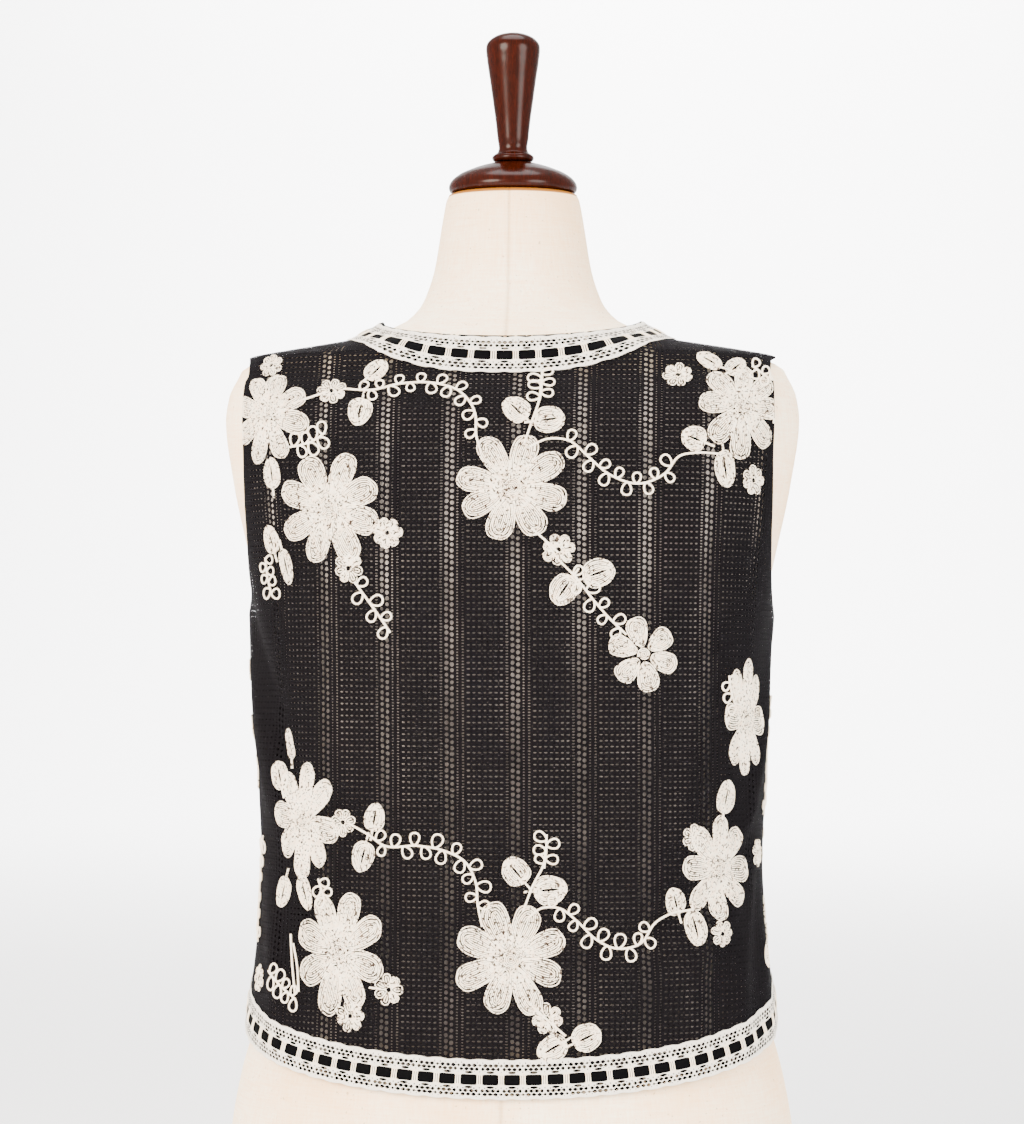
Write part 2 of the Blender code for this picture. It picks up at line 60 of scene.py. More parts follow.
# %% Helpers for materials
def linear(code):
    """The linear colour of an sRGB hex code."""
    parts = [int(code[i : i + 2], 16) / 255 for i in (1, 3, 5)]
    return [p / 12.92 if p <= 0.04045 else ((p + 0.055) / 1.055) ** 2.4 for p in parts] + [1.0]


def add(tree, kind, *inputs, **settings):
    """Adds a node. Each input is a value, a node whose first output is linked, or a socket."""
    node = tree.nodes.new("ShaderNode" + kind)
    for key, value in settings.items():
        setattr(node, key, value)
    for socket, value in zip(node.inputs, inputs):
        if isinstance(value, bpy.types.Node):
            tree.links.new(value.outputs[0], socket)
        elif isinstance(value, bpy.types.NodeSocket):
            tree.links.new(value, socket)
        elif value is not None:
            socket.default_value = value
    return node


def new_material(name, **sockets):
    """A Principled material with these uniform values, its node tree and its shader."""
    made = bpy.data.materials.new(name)
    made.use_nodes = True
    shader = made.node_tree.nodes["Principled BSDF"]
    for socket, value in sockets.items():
        shader.inputs[socket.replace("_", " ")].default_value = value
    return made, made.node_tree, shader


# %% [markdown]
# ## Starting a piece
# A real sheet of cloth starts flat and is laid on the body. So each sheet here starts as a
# primitive grid, whose points are then moved to their places row by row. An operator acts on all
# that is selected, so everything is deselected first.

# %% Helpers for meshes
def start_from(primitive, **settings):
    """Adds one primitive with nothing else selected."""
    bpy.ops.object.select_all(action="DESELECT")
    primitive(**settings)
    return bpy.context.object


def name_piece(piece, name, finish):
    """Names a piece, gives it its finish, smooths it and attaches it to the root body."""
    piece.name = piece.data.name = name
    piece.data.materials.clear()
    piece.data.materials.append(finish)
    piece.data.shade_smooth()
    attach(piece, "root")
    return piece


def lay_grid(points, texture=None):
    """A grid of cells through rows of points, with texture places in millimetres."""
    rows, columns = points.shape[:2]
    piece = start_from(
        bpy.ops.mesh.primitive_grid_add, x_subdivisions=columns - 1, y_subdivisions=rows - 1, size=2
    )
    mesh = piece.data
    flat = np.zeros(len(mesh.vertices) * 3)
    mesh.vertices.foreach_get("co", flat)
    flat = flat.reshape(-1, 3)
    column = np.rint((flat[:, 0] + 1) / 2 * (columns - 1)).astype(int)
    row = np.rint((flat[:, 1] + 1) / 2 * (rows - 1)).astype(int)
    mesh.vertices.foreach_set("co", points[row, column].ravel())
    if texture is not None:
        corner = np.zeros(len(mesh.loops), int)
        mesh.loops.foreach_get("vertex_index", corner)
        mesh.uv_layers[0].data.foreach_set("uv", texture[row[corner], column[corner]].ravel())
    mesh.update()
    return piece, row, column


def add_number(piece, name, values):
    """Gives each point of a piece a number that a material can read."""
    made = piece.data.attributes.new(name, "FLOAT", "POINT")
    made.data.foreach_set("value", values.astype(np.float32))


def apply_modifier(piece, kind, **settings):
    """Adds a modifier and applies it, as by hand."""
    made = piece.modifiers.new(kind.lower(), kind)
    for key, value in settings.items():
        setattr(made, key, value)
    bpy.context.view_layer.objects.active = piece
    bpy.ops.object.modifier_apply(modifier=made.name)


# %% [markdown]
# ## The body's shape
# A dress form is drafted as level sections, and the cloth over it as sections of its own, a
# little larger. Each row gives a height, the distances to the side, back and front, how square
# the section is, and how far forward its middle lies. The tables are those of the plain model,
# so that what is made here fits on it.

# %% Sections of the form and of the cloth
FORM_SECTIONS = (
    (0.0000, 0.1860, 0.1180, 0.1080, 2.4, 0.000),
    (0.0030, 0.1895, 0.1215, 0.1110, 2.4, 0.000),
    (0.0600, 0.1945, 0.1255, 0.1130, 2.4, 0.000),
    (0.1000, 0.1912, 0.1240, 0.1120, 2.4, 0.000),
    (0.1300, 0.1862, 0.1205, 0.1110, 2.4, 0.000),
    (0.1580, 0.1790, 0.1150, 0.1090, 2.3, 0.000),
    (0.2000, 0.1600, 0.1010, 0.1030, 2.3, 0.000),
    (0.2620, 0.1350, 0.0870, 0.0930, 2.2, 0.000),
    (0.3300, 0.1450, 0.0950, 0.1000, 2.2, 0.000),
    (0.4200, 0.1640, 0.1080, 0.1090, 2.2, 0.000),
    (0.4860, 0.1790, 0.1120, 0.1050, 2.3, 0.000),
    (0.5400, 0.1905, 0.1085, 0.0940, 2.4, 0.000),
    (0.5820, 0.1960, 0.0985, 0.0805, 2.4, 0.000),
    (0.5990, 0.1935, 0.0880, 0.0700, 2.4, 0.000),
    (0.6095, 0.1885, 0.0790, 0.0620, 2.3, 0.000),
    (0.6160, 0.1850, 0.0765, 0.0580, 2.3, 0.000),
    (0.6215, 0.1750, 0.0745, 0.0555, 2.2, 0.000),
    (0.6262, 0.1510, 0.0725, 0.0540, 2.2, 0.000),
    (0.6300, 0.1280, 0.0710, 0.0530, 2.2, 0.000),
    (0.6332, 0.1075, 0.0700, 0.0522, 2.1, 0.000),
    (0.6400, 0.0930, 0.0660, 0.0510, 2.1, 0.001),
    (0.6500, 0.0725, 0.0590, 0.0498, 2.0, 0.004),
    (0.6603, 0.0630, 0.0525, 0.0485, 2.0, 0.007),
    (0.6686, 0.0592, 0.0510, 0.0480, 2.0, 0.009),
    (0.6850, 0.0541, 0.0490, 0.0475, 2.0, 0.011),
    (0.7180, 0.0486, 0.0475, 0.0470, 2.0, 0.012),
    (0.7330, 0.0458, 0.0458, 0.0458, 2.0, 0.012),
    (0.7370, 0.0440, 0.0440, 0.0440, 2.0, 0.012),
    (0.7385, 0.0405, 0.0405, 0.0405, 2.0, 0.012),
)
GARMENT_SECTIONS = (
    (0.1200, 0.1905, 0.1265, 0.1180, 2.4, 0.000),
    (0.1580, 0.1835, 0.1210, 0.1165, 2.4, 0.000),
    (0.1850, 0.1795, 0.1180, 0.1175, 2.4, 0.000),
    (0.2250, 0.1745, 0.1145, 0.1195, 2.4, 0.000),
    (0.2535, 0.1722, 0.1125, 0.1215, 2.4, 0.000),
    (0.2810, 0.1710, 0.1118, 0.1240, 2.4, 0.000),
    (0.3360, 0.1730, 0.1122, 0.1300, 2.4, 0.000),
    (0.3905, 0.1738, 0.1138, 0.1360, 2.4, 0.000),
    (0.4180, 0.1752, 0.1148, 0.1375, 2.4, 0.000),
    (0.4450, 0.1778, 0.1158, 0.1345, 2.4, 0.000),
    (0.4730, 0.1805, 0.1160, 0.1275, 2.4, 0.000),
    (0.5000, 0.1848, 0.1152, 0.1180, 2.4, 0.000),
    (0.5275, 0.1905, 0.1128, 0.1075, 2.4, 0.000),
    (0.5550, 0.1953, 0.1090, 0.1000, 2.4, 0.000),
    (0.5820, 0.1986, 0.1030, 0.0898, 2.4, 0.000),
    (0.5950, 0.1978, 0.0965, 0.0825, 2.4, 0.000),
    (0.6050, 0.1955, 0.0890, 0.0765, 2.4, 0.000),
    (0.6100, 0.1930, 0.0855, 0.0738, 2.3, 0.000),
    (0.6165, 0.1890, 0.0825, 0.0700, 2.3, 0.000),
    (0.6210, 0.1850, 0.0808, 0.0672, 2.3, 0.000),
    (0.6245, 0.1800, 0.0796, 0.0645, 2.3, 0.000),
    (0.6290, 0.1570, 0.0782, 0.0612, 2.2, 0.000),
    (0.6325, 0.1340, 0.0770, 0.0595, 2.2, 0.000),
    (0.6360, 0.1130, 0.0758, 0.0580, 2.2, 0.000),
    (0.6420, 0.1000, 0.0735, 0.0555, 2.1, 0.000),
    (0.6495, 0.0885, 0.0700, 0.0535, 2.1, 0.002),
    (0.6600, 0.0780, 0.0660, 0.0520, 2.1, 0.004),
)
print("sections:", len(FORM_SECTIONS), "of the form,", len(GARMENT_SECTIONS), "of the cloth")

# %% [markdown]
# ## Folds
# Worn cloth falls in soft folds, each with its own size and way. A fold is a line from one place
# to another, given as an angle round the body in degrees (0 is the centre back) and a height,
# then its half width and how far it stands out, or in where that is negative. The first are the
# plain model's, and the finer ones are added here. No two are alike, or they would look stamped.

# %% Large and fine folds
FOLDS = (
    (-84.0, 0.440, -58.0, 0.330, 0.016, 0.0045),
    (-74.0, 0.455, -50.0, 0.350, 0.013, -0.0035),
    (-62.0, 0.250, -52.0, 0.175, 0.012, 0.0030),
    (62.0, 0.290, 26.0, 0.225, 0.012, -0.0040),
    (58.0, 0.262, 34.0, 0.205, 0.013, 0.0040),
    (44.0, 0.215, 40.0, 0.168, 0.010, 0.0030),
    (58.0, 0.230, 55.0, 0.172, 0.011, 0.0035),
    (74.0, 0.250, 70.0, 0.175, 0.012, 0.0030),
    (82.0, 0.430, 70.0, 0.330, 0.015, 0.0035),
    (150.0, 0.380, 147.0, 0.175, 0.016, 0.0045),
    (128.0, 0.360, 124.0, 0.180, 0.015, 0.0040),
    (-149.0, 0.385, -146.0, 0.175, 0.016, 0.0045),
    (-126.0, 0.365, -121.0, 0.180, 0.015, 0.0040),
)
FINE_FOLDS = (
    (-66.0, 0.405, -47.0, 0.352, 0.006, 0.0016),
    (-58.0, 0.372, -40.0, 0.338, 0.005, -0.0012),
    (-79.0, 0.398, -63.0, 0.322, 0.007, 0.0015),
    (-44.0, 0.352, -39.0, 0.268, 0.008, 0.0012),
    (-30.0, 0.262, -27.0, 0.176, 0.009, 0.0010),
    (-16.0, 0.285, -14.0, 0.172, 0.010, 0.0009),
    (-5.0, 0.215, -6.0, 0.160, 0.007, 0.0007),
    (13.0, 0.300, 16.0, 0.176, 0.010, 0.0010),
    (27.0, 0.252, 24.0, 0.172, 0.008, 0.0012),
    (66.0, 0.318, 44.0, 0.262, 0.006, 0.0014),
    (52.0, 0.246, 36.0, 0.224, 0.005, -0.0012),
    (68.0, 0.283, 59.0, 0.214, 0.007, 0.0015),
    (76.0, 0.385, 62.0, 0.302, 0.007, 0.0013),
    (-9.0, 0.620, -7.0, 0.560, 0.010, 0.0006),
    (38.0, 0.600, 52.0, 0.520, 0.010, 0.0007),
    (-40.0, 0.602, -52.0, 0.525, 0.010, 0.0007),
    (168.0, 0.500, 160.0, 0.420, 0.011, 0.0012),
    (139.0, 0.330, 137.0, 0.185, 0.009, 0.0013),
    (112.0, 0.350, 108.0, 0.190, 0.010, 0.0014),
    (165.0, 0.340, 163.0, 0.180, 0.011, 0.0012),
    (-167.0, 0.495, -158.0, 0.415, 0.011, 0.0012),
    (-137.0, 0.335, -135.0, 0.188, 0.009, 0.0013),
    (-110.0, 0.342, -107.0, 0.186, 0.010, 0.0014),
    (-164.0, 0.332, -161.0, 0.182, 0.011, 0.0012),
)
# Folds are measured on the chest, where a degree round the body is this long. A fold fades at
# its ends by this share of its length.
METRES_PER_DEGREE = 0.00264
FOLD_FADE = 0.15
print("folds:", len(FOLDS), "large and", len(FINE_FOLDS), "fine")

# %% [markdown]
# ## Points on the body
# Every piece of cloth has to lie on the body, so one function turns an angle and a height into a
# point. It reads the sections through a smooth curve that never overshoots them, and the cloth's
# folds are added along the normal, as cloth stands off a body.

# %% Points on the form and on the cloth
def smooth_column(heights, values, at):
    """A curve through the table's values that never overshoots them."""
    step = np.diff(heights)
    rise = np.diff(values) / step
    product = rise[:-1] * rise[1:]
    total = np.where(rise[:-1] + rise[1:] == 0, 1.0, rise[:-1] + rise[1:])
    inner = np.where(product > 0, 2 * product / total, 0.0)
    slope = np.concatenate([[rise[0]], inner, [rise[-1]]])
    i = np.clip(np.searchsorted(heights, at) - 1, 0, len(step) - 1)
    t = np.clip((at - heights[i]) / step[i], 0, 1)
    start = (1 + 2 * t) * (1 - t) ** 2 * values[i] + t * (1 - t) ** 2 * step[i] * slope[i]
    end = t * t * (3 - 2 * t) * values[i + 1] - t * t * (1 - t) * step[i] * slope[i + 1]
    return start + end


def section_points(sections, angle, height):
    """Points on the level sections of a body, at these angles and heights."""
    table = np.array(sections)
    angle, height = np.broadcast_arrays(np.asarray(angle, float), np.asarray(height, float))
    side, back, front, square, middle = (
        smooth_column(table[:, 0], table[:, k], height) for k in range(1, 6)
    )
    turn = np.radians(angle)
    sine, cosine = np.sin(turn), np.cos(turn)
    reach = (np.abs(sine) ** square + np.abs(cosine) ** square) ** (-1 / square)
    depth = np.where(cosine > 0, back, front)
    return np.stack([side * sine * reach, middle - depth * cosine * reach, height], -1)


def fold_rise(angle, height):
    """How far the cloth stands out at each place, from all the folds."""
    x, y = np.asarray(angle) * METRES_PER_DEGREE, np.asarray(height)
    total = np.zeros(np.broadcast(x, y).shape)
    for from_angle, from_height, to_angle, to_height, half_width, rise in FOLDS + FINE_FOLDS:
        start = np.array([from_angle * METRES_PER_DEGREE, from_height])
        way = np.array([to_angle * METRES_PER_DEGREE, to_height]) - start
        long = math.hypot(*way)
        along = ((x - start[0]) * way[0] + (y - start[1]) * way[1]) / long**2
        off = ((x - start[0]) * way[1] - (y - start[1]) * way[0]) / long / half_width
        ends = np.clip(along, 0, 1)
        past = (along - ends) * long / (2 * half_width)
        swell = np.sin(math.pi * (FOLD_FADE + (1 - 2 * FOLD_FADE) * ends))
        total = total + rise * swell * np.exp(-(off**2) - past**2)
    return total


def outward(points_at, angle, height):
    """Unit normals of a body's surface, from places 0.2 degrees and 0.4 mm to each side."""
    small_turn, small_rise = 0.2, 0.0004
    round_it = points_at(angle + small_turn, height) - points_at(angle - small_turn, height)
    up_it = points_at(angle, height + small_rise) - points_at(angle, height - small_rise)
    normal = np.cross(round_it, up_it)
    return normal / np.linalg.norm(normal, axis=-1, keepdims=True)


def garment_points(angle, height):
    """Points on the outside of the cloth."""

    def plain(a, z):
        """Points on the cloth without its folds."""
        return section_points(GARMENT_SECTIONS, a, z)

    normal = outward(plain, np.asarray(angle, float), np.asarray(height, float))
    return plain(angle, height) + normal * fold_rise(angle, height)[..., None]


print("cloth at the centre back, 0.4 m up:", garment_points(0.0, 0.4).round(4))

# %% [markdown]
# ## The flat cloth
# The knit's rows and the sewn flowers are made while the cloth is flat, so both are drawn in flat
# cloth coordinates: how far across from the centre line, and how far up. Two tables measured on
# the sections turn a place on the body into one on the flat cloth, and back. Drawing straight on
# the body would stretch the eyelets over the shoulders.

# %% Tables from body to flat cloth and back
HALF_ANGLES = np.linspace(0, 110, 221)
LEVELS = np.linspace(0.122, 0.659, 180)
ACROSS_STEP = 0.004
ACROSS = np.arange(0, 0.30, ACROSS_STEP)


def body_angle(half_angle, side, front):
    """The angle round the body, from the angle off a panel's centre line and its side."""
    return np.where(front, side * (180 - half_angle), side * half_angle)


def measure_half(front):
    """For one half: distance across at each level and angle, angle and distance up at each."""
    angles = body_angle(HALF_ANGLES, 1, front)
    points = section_points(GARMENT_SECTIONS, angles[None, :], LEVELS[:, None])
    steps = np.linalg.norm(np.diff(points, axis=1), axis=2)
    across = np.concatenate([np.zeros((len(LEVELS), 1)), np.cumsum(steps, 1)], 1)
    angle = np.array([np.interp(ACROSS, row, HALF_ANGLES) for row in across])
    lines = section_points(GARMENT_SECTIONS, body_angle(angle, 1, front), LEVELS[:, None])
    climb = np.linalg.norm(np.diff(lines, axis=0), axis=2)
    up = np.concatenate([np.zeros((1, len(ACROSS))), np.cumsum(climb, 0)], 0)
    return {"across": across, "angle": angle, "up": up}


HALVES = {front: measure_half(front) for front in (False, True)}


def read_table(table, row, column):
    """Values between the entries of a table."""
    i = np.clip(np.floor(row).astype(int), 0, table.shape[0] - 2)
    j = np.clip(np.floor(column).astype(int), 0, table.shape[1] - 2)
    r, c = row - i, column - j
    low = table[i, j] * (1 - c) + table[i, j + 1] * c
    high = table[i + 1, j] * (1 - c) + table[i + 1, j + 1] * c
    return low * (1 - r) + high * r


def flat_place(half_angle, height, front):
    """Flat cloth coordinates of places on one half of the body."""
    row = (height - LEVELS[0]) / (LEVELS[1] - LEVELS[0])
    across = read_table(HALVES[front]["across"], row, half_angle / HALF_ANGLES[1])
    return across, read_table(HALVES[front]["up"], row, across / ACROSS_STEP)


def worn_place(across, up, front):
    """The angle round the body and the height of places on the flat cloth."""
    half = HALVES[front]
    column = np.abs(across) / ACROSS_STEP
    i = np.clip(column.astype(int), 0, len(ACROSS) - 2)
    f = column - i
    line = half["up"][:, i] * (1 - f) + half["up"][:, i + 1] * f
    k = np.clip((line < up).sum(0) - 1, 0, len(LEVELS) - 2)
    pick = np.arange(len(k))
    row = k + (up - line[k, pick]) / (line[k + 1, pick] - line[k, pick])
    height = LEVELS[0] + row * (LEVELS[1] - LEVELS[0])
    angle = read_table(half["angle"], row, column)
    return body_angle(angle, np.where(across < 0, -1, 1), front), height


print("half back at the chest:", flat_place(np.array(90.0), np.array(0.44), False))

# %% [markdown]
# ## The knit panels
# The waistcoat is cut as one back and two fronts of the same knit. A simulated drape would slide
# off the folds that are wanted, so each panel is a grid that follows its own edges: hem, side seam,
# armhole, shoulder seam and neck. Its middle columns run straight up, and its outer ones lean with
# the armhole. Then Solidify makes it a thin shell.

# %% The cut of a panel
# Heights are in metres and angles in degrees. The armhole cuts in by so many degrees, and the
# seams stand back from the side line by a little, so that two panels never touch.
BACK_HEM_HEIGHT, FRONT_HEM_HEIGHT, SIDE_HEM_HEIGHT = 0.1465, 0.1585, 0.1890
UNDERARM_HEIGHT, SHOULDER_TIP_HEIGHT, NECK_POINT_HEIGHT = 0.445, 0.6245, 0.6495
NECK_HALF_WIDTH, BACK_NECK_DROP, FRONT_NECK_DROP = 0.0885, 0.0146, 0.0975
BACK_ARMHOLE_CUT, FRONT_ARMHOLE_CUT, SEAM_INSET = 31.0, 33.0, 0.22
FRONT_GAP_TOP, FRONT_GAP_HEM, FRONT_NECK_HEIGHT = 0.9, 2.2, 0.57
# The share of a half panel's columns inside the armhole's edge, and how far round they reach
INNER_SHARE, INNER_ANGLE, INNER_NECK_TURN = 0.6, 50.0, 73.0
# Heights of the centre line where the armhole starts and ends
BACK_CENTRE_LEVELS, FRONT_CENTRE_LEVELS = (0.432, 0.598), (0.425, 0.528)
# Rows below the armhole, beside it, and above it up to the neck
ROWS = (70, 44, 22)
HALF_COLUMNS = 50


def angle_at(x, height, front):
    """The angle at which the cloth's section is this far from its middle plane."""
    steps = np.linspace(0, 90, 181)
    sideways = section_points(GARMENT_SECTIONS, body_angle(steps, 1, front), height)[:, 0]
    return float(np.interp(x, sideways, steps))


def half_panel(front, below_hem=0):
    """(angle off the centre line, height) for each row and column of half a panel."""
    centre_levels = FRONT_CENTRE_LEVELS if front else BACK_CENTRE_LEVELS
    hem = FRONT_HEM_HEIGHT if front else BACK_HEM_HEIGHT
    cut = FRONT_ARMHOLE_CUT if front else BACK_ARMHOLE_CUT
    drop = FRONT_NECK_DROP if front else BACK_NECK_DROP
    inner_count = round(HALF_COLUMNS * INNER_SHARE)
    inner = np.linspace(0, 1, inner_count + 1)
    outer = np.linspace(0, 1, HALF_COLUMNS - inner_count + 1)[1:]
    lean = np.concatenate([(1 - np.cos(math.pi * inner)) / 2, np.ones(len(outer))])

    def angles_to(edge):
        """The angles of a row's columns, out to the angle of the row's edge."""
        return np.concatenate([inner * INNER_ANGLE, INNER_ANGLE + (edge - INNER_ANGLE) * outer])

    dip = 1 - np.cos(np.radians(angles_to(90)))
    rows = []
    for i in range(-below_hem, ROWS[0]):
        t = i / ROWS[0]
        centre = hem + (centre_levels[0] - hem) * t
        side = SIDE_HEM_HEIGHT + (UNDERARM_HEIGHT - SIDE_HEM_HEIGHT) * t
        rows.append((angles_to(90), centre + (side - centre) * (dip * (1 - t) + lean * t)))
    for i in range(ROWS[1]):
        t = i / ROWS[1]
        centre = centre_levels[0] + (centre_levels[1] - centre_levels[0]) * t
        climb = (1 - math.cos(math.pi * t)) / 2
        side = UNDERARM_HEIGHT + (SHOULDER_TIP_HEIGHT - UNDERARM_HEIGHT) * climb
        edge = 90 - cut * math.sin(math.pi * t**1.8) ** 0.5
        rows.append((angles_to(edge), centre + (side - centre) * lean))
    turn = np.radians(
        np.concatenate([inner * INNER_NECK_TURN, INNER_NECK_TURN + (90 - INNER_NECK_TURN) * outer])
    )
    neck_x = NECK_HALF_WIDTH * np.sin(turn)
    neck_z = NECK_POINT_HEIGHT - drop * np.cos(turn)
    neck_a = np.array([angle_at(x, z, front) for x, z in zip(neck_x, neck_z)])
    tip_z = centre_levels[1] + (SHOULDER_TIP_HEIGHT - centre_levels[1]) * lean
    for i in range(ROWS[2] + 1):
        t = i / ROWS[2]
        rows.append((angles_to(90) * (1 - t) + neck_a * t, tip_z * (1 - t) + neck_z * t))
    angles, heights = (np.array(x) for x in zip(*rows))
    angles = angles * (1 - SEAM_INSET / 90)
    if front:
        ends = (FRONT_HEM_HEIGHT, FRONT_NECK_HEIGHT)
        gap = np.interp(heights, ends, (FRONT_GAP_HEM, FRONT_GAP_TOP))
        angles = gap + angles * (1 - gap / (90 - SEAM_INSET))
    return angles, heights


def whole_panels(below_hem=0):
    """For each panel: side, angle off its centre line, height, and whether it is a front."""
    back_a, back_z = half_panel(False, below_hem)
    front_a, front_z = half_panel(True, below_hem)
    signs = np.concatenate([-np.ones(HALF_COLUMNS), np.ones(HALF_COLUMNS + 1)])
    both_a = np.concatenate([back_a[:, :0:-1], back_a], 1)
    both_z = np.concatenate([back_z[:, :0:-1], back_z], 1)
    return {
        "knit_back": (signs[None, :], both_a, both_z, False),
        "knit_front_left": (-1.0, front_a, front_z, True),
        "knit_front_right": (1.0, front_a[:, ::-1], front_z[:, ::-1], True),
    }


print("rows and columns of half a back:", half_panel(False)[0].shape)

# %% [markdown]
# ## The knit's finish
# Openwork machine knit in black cotton: a stitch is dropped at set places, which leaves an eyelet.
# The repeat is 12 stitches wide, 43.2 mm, with two columns of round eyelets side by side, then
# small slits in rows 3.9 mm apart. Cutting tens of thousands of eyelets as geometry would be far
# too heavy, so the material makes them clear. The eyelets' sizes are charted in millimetres: half
# width, half height, how much of a row the column is shifted up, and how many eyelets it has in a
# row's height.

# %% The chart of eyelets
# A stitch's width and a row's height in millimetres, and how far the first pair is from the middle
STITCH, ROW = 3.6, 3.9
PAIR_SHIFT = 5.3
EYELETS = (
    (1.30, 1.36, 0.00, 1),
    (1.30, 1.36, 0.27, 1),
    (0.72, 0.40, 0.00, 2),
    (0.84, 0.40, 0.00, 2),
    (1.14, 0.54, 0.00, 1),
    (1.08, 0.50, 0.00, 1),
    (1.16, 0.54, 0.00, 1),
    (1.06, 0.50, 0.00, 1),
    (1.18, 0.52, 0.00, 1),
    (1.10, 0.52, 0.00, 1),
    (1.14, 0.54, 0.00, 1),
    (1.00, 0.42, 0.50, 2),
)
print("knit: repeat of", len(EYELETS), "stitches,", round(len(EYELETS) * STITCH, 1), "mm")

# %% The chart in the knit's material
# Black cotton takes in nearly all light: what shows is a dull sheen on the yarn's fuzz
knit, tree, shader = new_material(
    "black_openwork_cotton_knit",
    Base_Color=linear("#0a090c"), Roughness=0.92, Specular_IOR_Level=0.05,
)
shader.inputs["Sheen Weight"].default_value = 0.03
shader.inputs["Sheen Roughness"].default_value = 0.45
shader.inputs["Sheen Tint"].default_value = linear("#7d7a84")
places = add(tree, "UVMap", uv_map="UVMap")
flat = add(tree, "SeparateXYZ", places)
sideways = add(tree, "Math", flat.outputs[0], PAIR_SHIFT, operation="SUBTRACT")
stitches = add(tree, "Math", sideways, 1 / STITCH, operation="MULTIPLY")
repeat = add(tree, "Math", stitches, 1 / len(EYELETS), operation="MULTIPLY")
in_repeat = add(tree, "Math", repeat, operation="FRACT")
chart = add(tree, "ValToRGB", in_repeat)
chart.color_ramp.interpolation = "CONSTANT"
stops = chart.color_ramp.elements
for i, (wide, high, shift, rate) in enumerate(EYELETS):
    stop = stops[i] if i < 2 else stops.new(i / len(EYELETS))
    stop.position = i / len(EYELETS)
    stop.color = (wide / 2, high / 2, shift, rate / 2)
size = add(tree, "SeparateColor", chart)
in_stitch = add(tree, "Math", stitches, operation="FRACT")
off_middle = add(tree, "Math", in_stitch, 0.5, operation="SUBTRACT")
sideways = add(tree, "Math", off_middle, STITCH / 2, operation="MULTIPLY")
rate = add(tree, "Math", chart.outputs[1], 2.0, operation="MULTIPLY")
rows_up = add(tree, "Math", flat.outputs[1], 1 / ROW, operation="MULTIPLY")
rows_up = add(tree, "Math", rows_up, rate, operation="MULTIPLY")
shifted = add(tree, "Math", rows_up, size.outputs[2], operation="ADD")
in_row = add(tree, "Math", shifted, operation="FRACT")
off_row = add(tree, "Math", in_row, 0.5, operation="SUBTRACT")
upwards = add(tree, "Math", off_row, ROW / 2, operation="MULTIPLY")
upwards = add(tree, "Math", upwards, rate, operation="DIVIDE")
wide_share = add(tree, "Math", sideways, size.outputs[0], operation="DIVIDE")
high_share = add(tree, "Math", upwards, size.outputs[1], operation="DIVIDE")
wide_square = add(tree, "Math", wide_share, wide_share, operation="MULTIPLY")
high_square = add(tree, "Math", high_share, high_share, operation="MULTIPLY")
reach = add(tree, "Math", wide_square, high_square, operation="ADD")

# %% [markdown]
# ## Eyelets that open and close
# On a worn knit no two eyelets are pulled open alike, and near the armholes the knit closes up. So
# noise and an attribute of the panel change each eyelet's size before it is made clear; at the
# sides that attribute also shuts eyelets as painted shade. Stray yarn fuzz crosses every eyelet,
# and low down, where the cloth hangs away from the form and little light comes back, more of each
# eyelet is kept black as painted shade.

# %% Open the eyelets
slack = add(tree, "TexNoise", places, None, 0.16, 2.0)
slack_range = add(tree, "MapRange", slack, 0.3, 0.7, 0.66, 1.12)
# The panel's number shuts eyelets where the knit is close, and at the sides as painted shade
closed = add(tree, "Attribute", attribute_name="knit_closeness_and_shade")
closing_and_shade = add(tree, "MapRange", closed.outputs[2], 0.0, 1.0, 1.0, 9.0)
pulled = add(tree, "Math", reach, slack_range, operation="MULTIPLY")
pulled = add(tree, "Math", pulled, closing_and_shade, operation="MULTIPLY")
# Yarn fuzz keeps part of each eyelet black, and more of it low down as painted shade, in random
# patches
fuzz_and_painted_shade = add(tree, "MapRange", flat.outputs[1], 100.0, 420.0, 0.24, 0.05)
patches = add(tree, "TexNoise", places, None, 0.02, 1.0)
patches = add(tree, "MapRange", patches, 0.35, 0.65, 0.0, 0.15)
fuzz_and_painted_shade = add(tree, "Math", fuzz_and_painted_shade, patches, operation="ADD")
solid = add(tree, "MapRange", pulled, 0.75, 1.15, fuzz_and_painted_shade, 1.0, interpolation_type="SMOOTHSTEP")
# Between two rows of slits lie tiny gaps, 0.8 mm wide and 1.3 mm high, where two stitches meet
TICK_HALF_WIDTH, TICK_HALF_HEIGHT = 0.40, 0.65
middle_x = add(tree, "Math", off_middle, operation="ABSOLUTE")
edge_x = add(tree, "Math", 0.5, middle_x, operation="SUBTRACT")
edge_x = add(tree, "Math", edge_x, STITCH / TICK_HALF_WIDTH, operation="MULTIPLY")
middle_y = add(tree, "Math", off_row, operation="ABSOLUTE")
edge_y = add(tree, "Math", 0.5, middle_y, operation="SUBTRACT")
edge_y = add(tree, "Math", edge_y, ROW / TICK_HALF_HEIGHT, operation="MULTIPLY")
edge_x = add(tree, "Math", edge_x, edge_x, operation="MULTIPLY")
edge_y = add(tree, "Math", edge_y, edge_y, operation="MULTIPLY")
tick = add(tree, "Math", edge_x, edge_y, operation="ADD")
tick = add(tree, "Math", tick, closing_and_shade, operation="MULTIPLY")
narrow = add(tree, "Math", size.outputs[0], 0.60, operation="LESS_THAN")
single = add(tree, "Math", rate, 1.5, operation="LESS_THAN")
slits_only = add(tree, "Math", narrow, single, operation="MULTIPLY")
least = add(tree, "MapRange", slits_only, 0.0, 1.0, 1.0, 0.62)
tick = add(tree, "MapRange", tick, 0.5, 1.3, least, 1.0)
solid = add(tree, "Math", solid, tick, operation="MINIMUM")
tree.links.new(solid.outputs[0], shader.inputs["Alpha"])
print("eyelets: 2.6 mm wide at most, gaps between stitches", 2 * TICK_HALF_WIDTH, "mm wide")

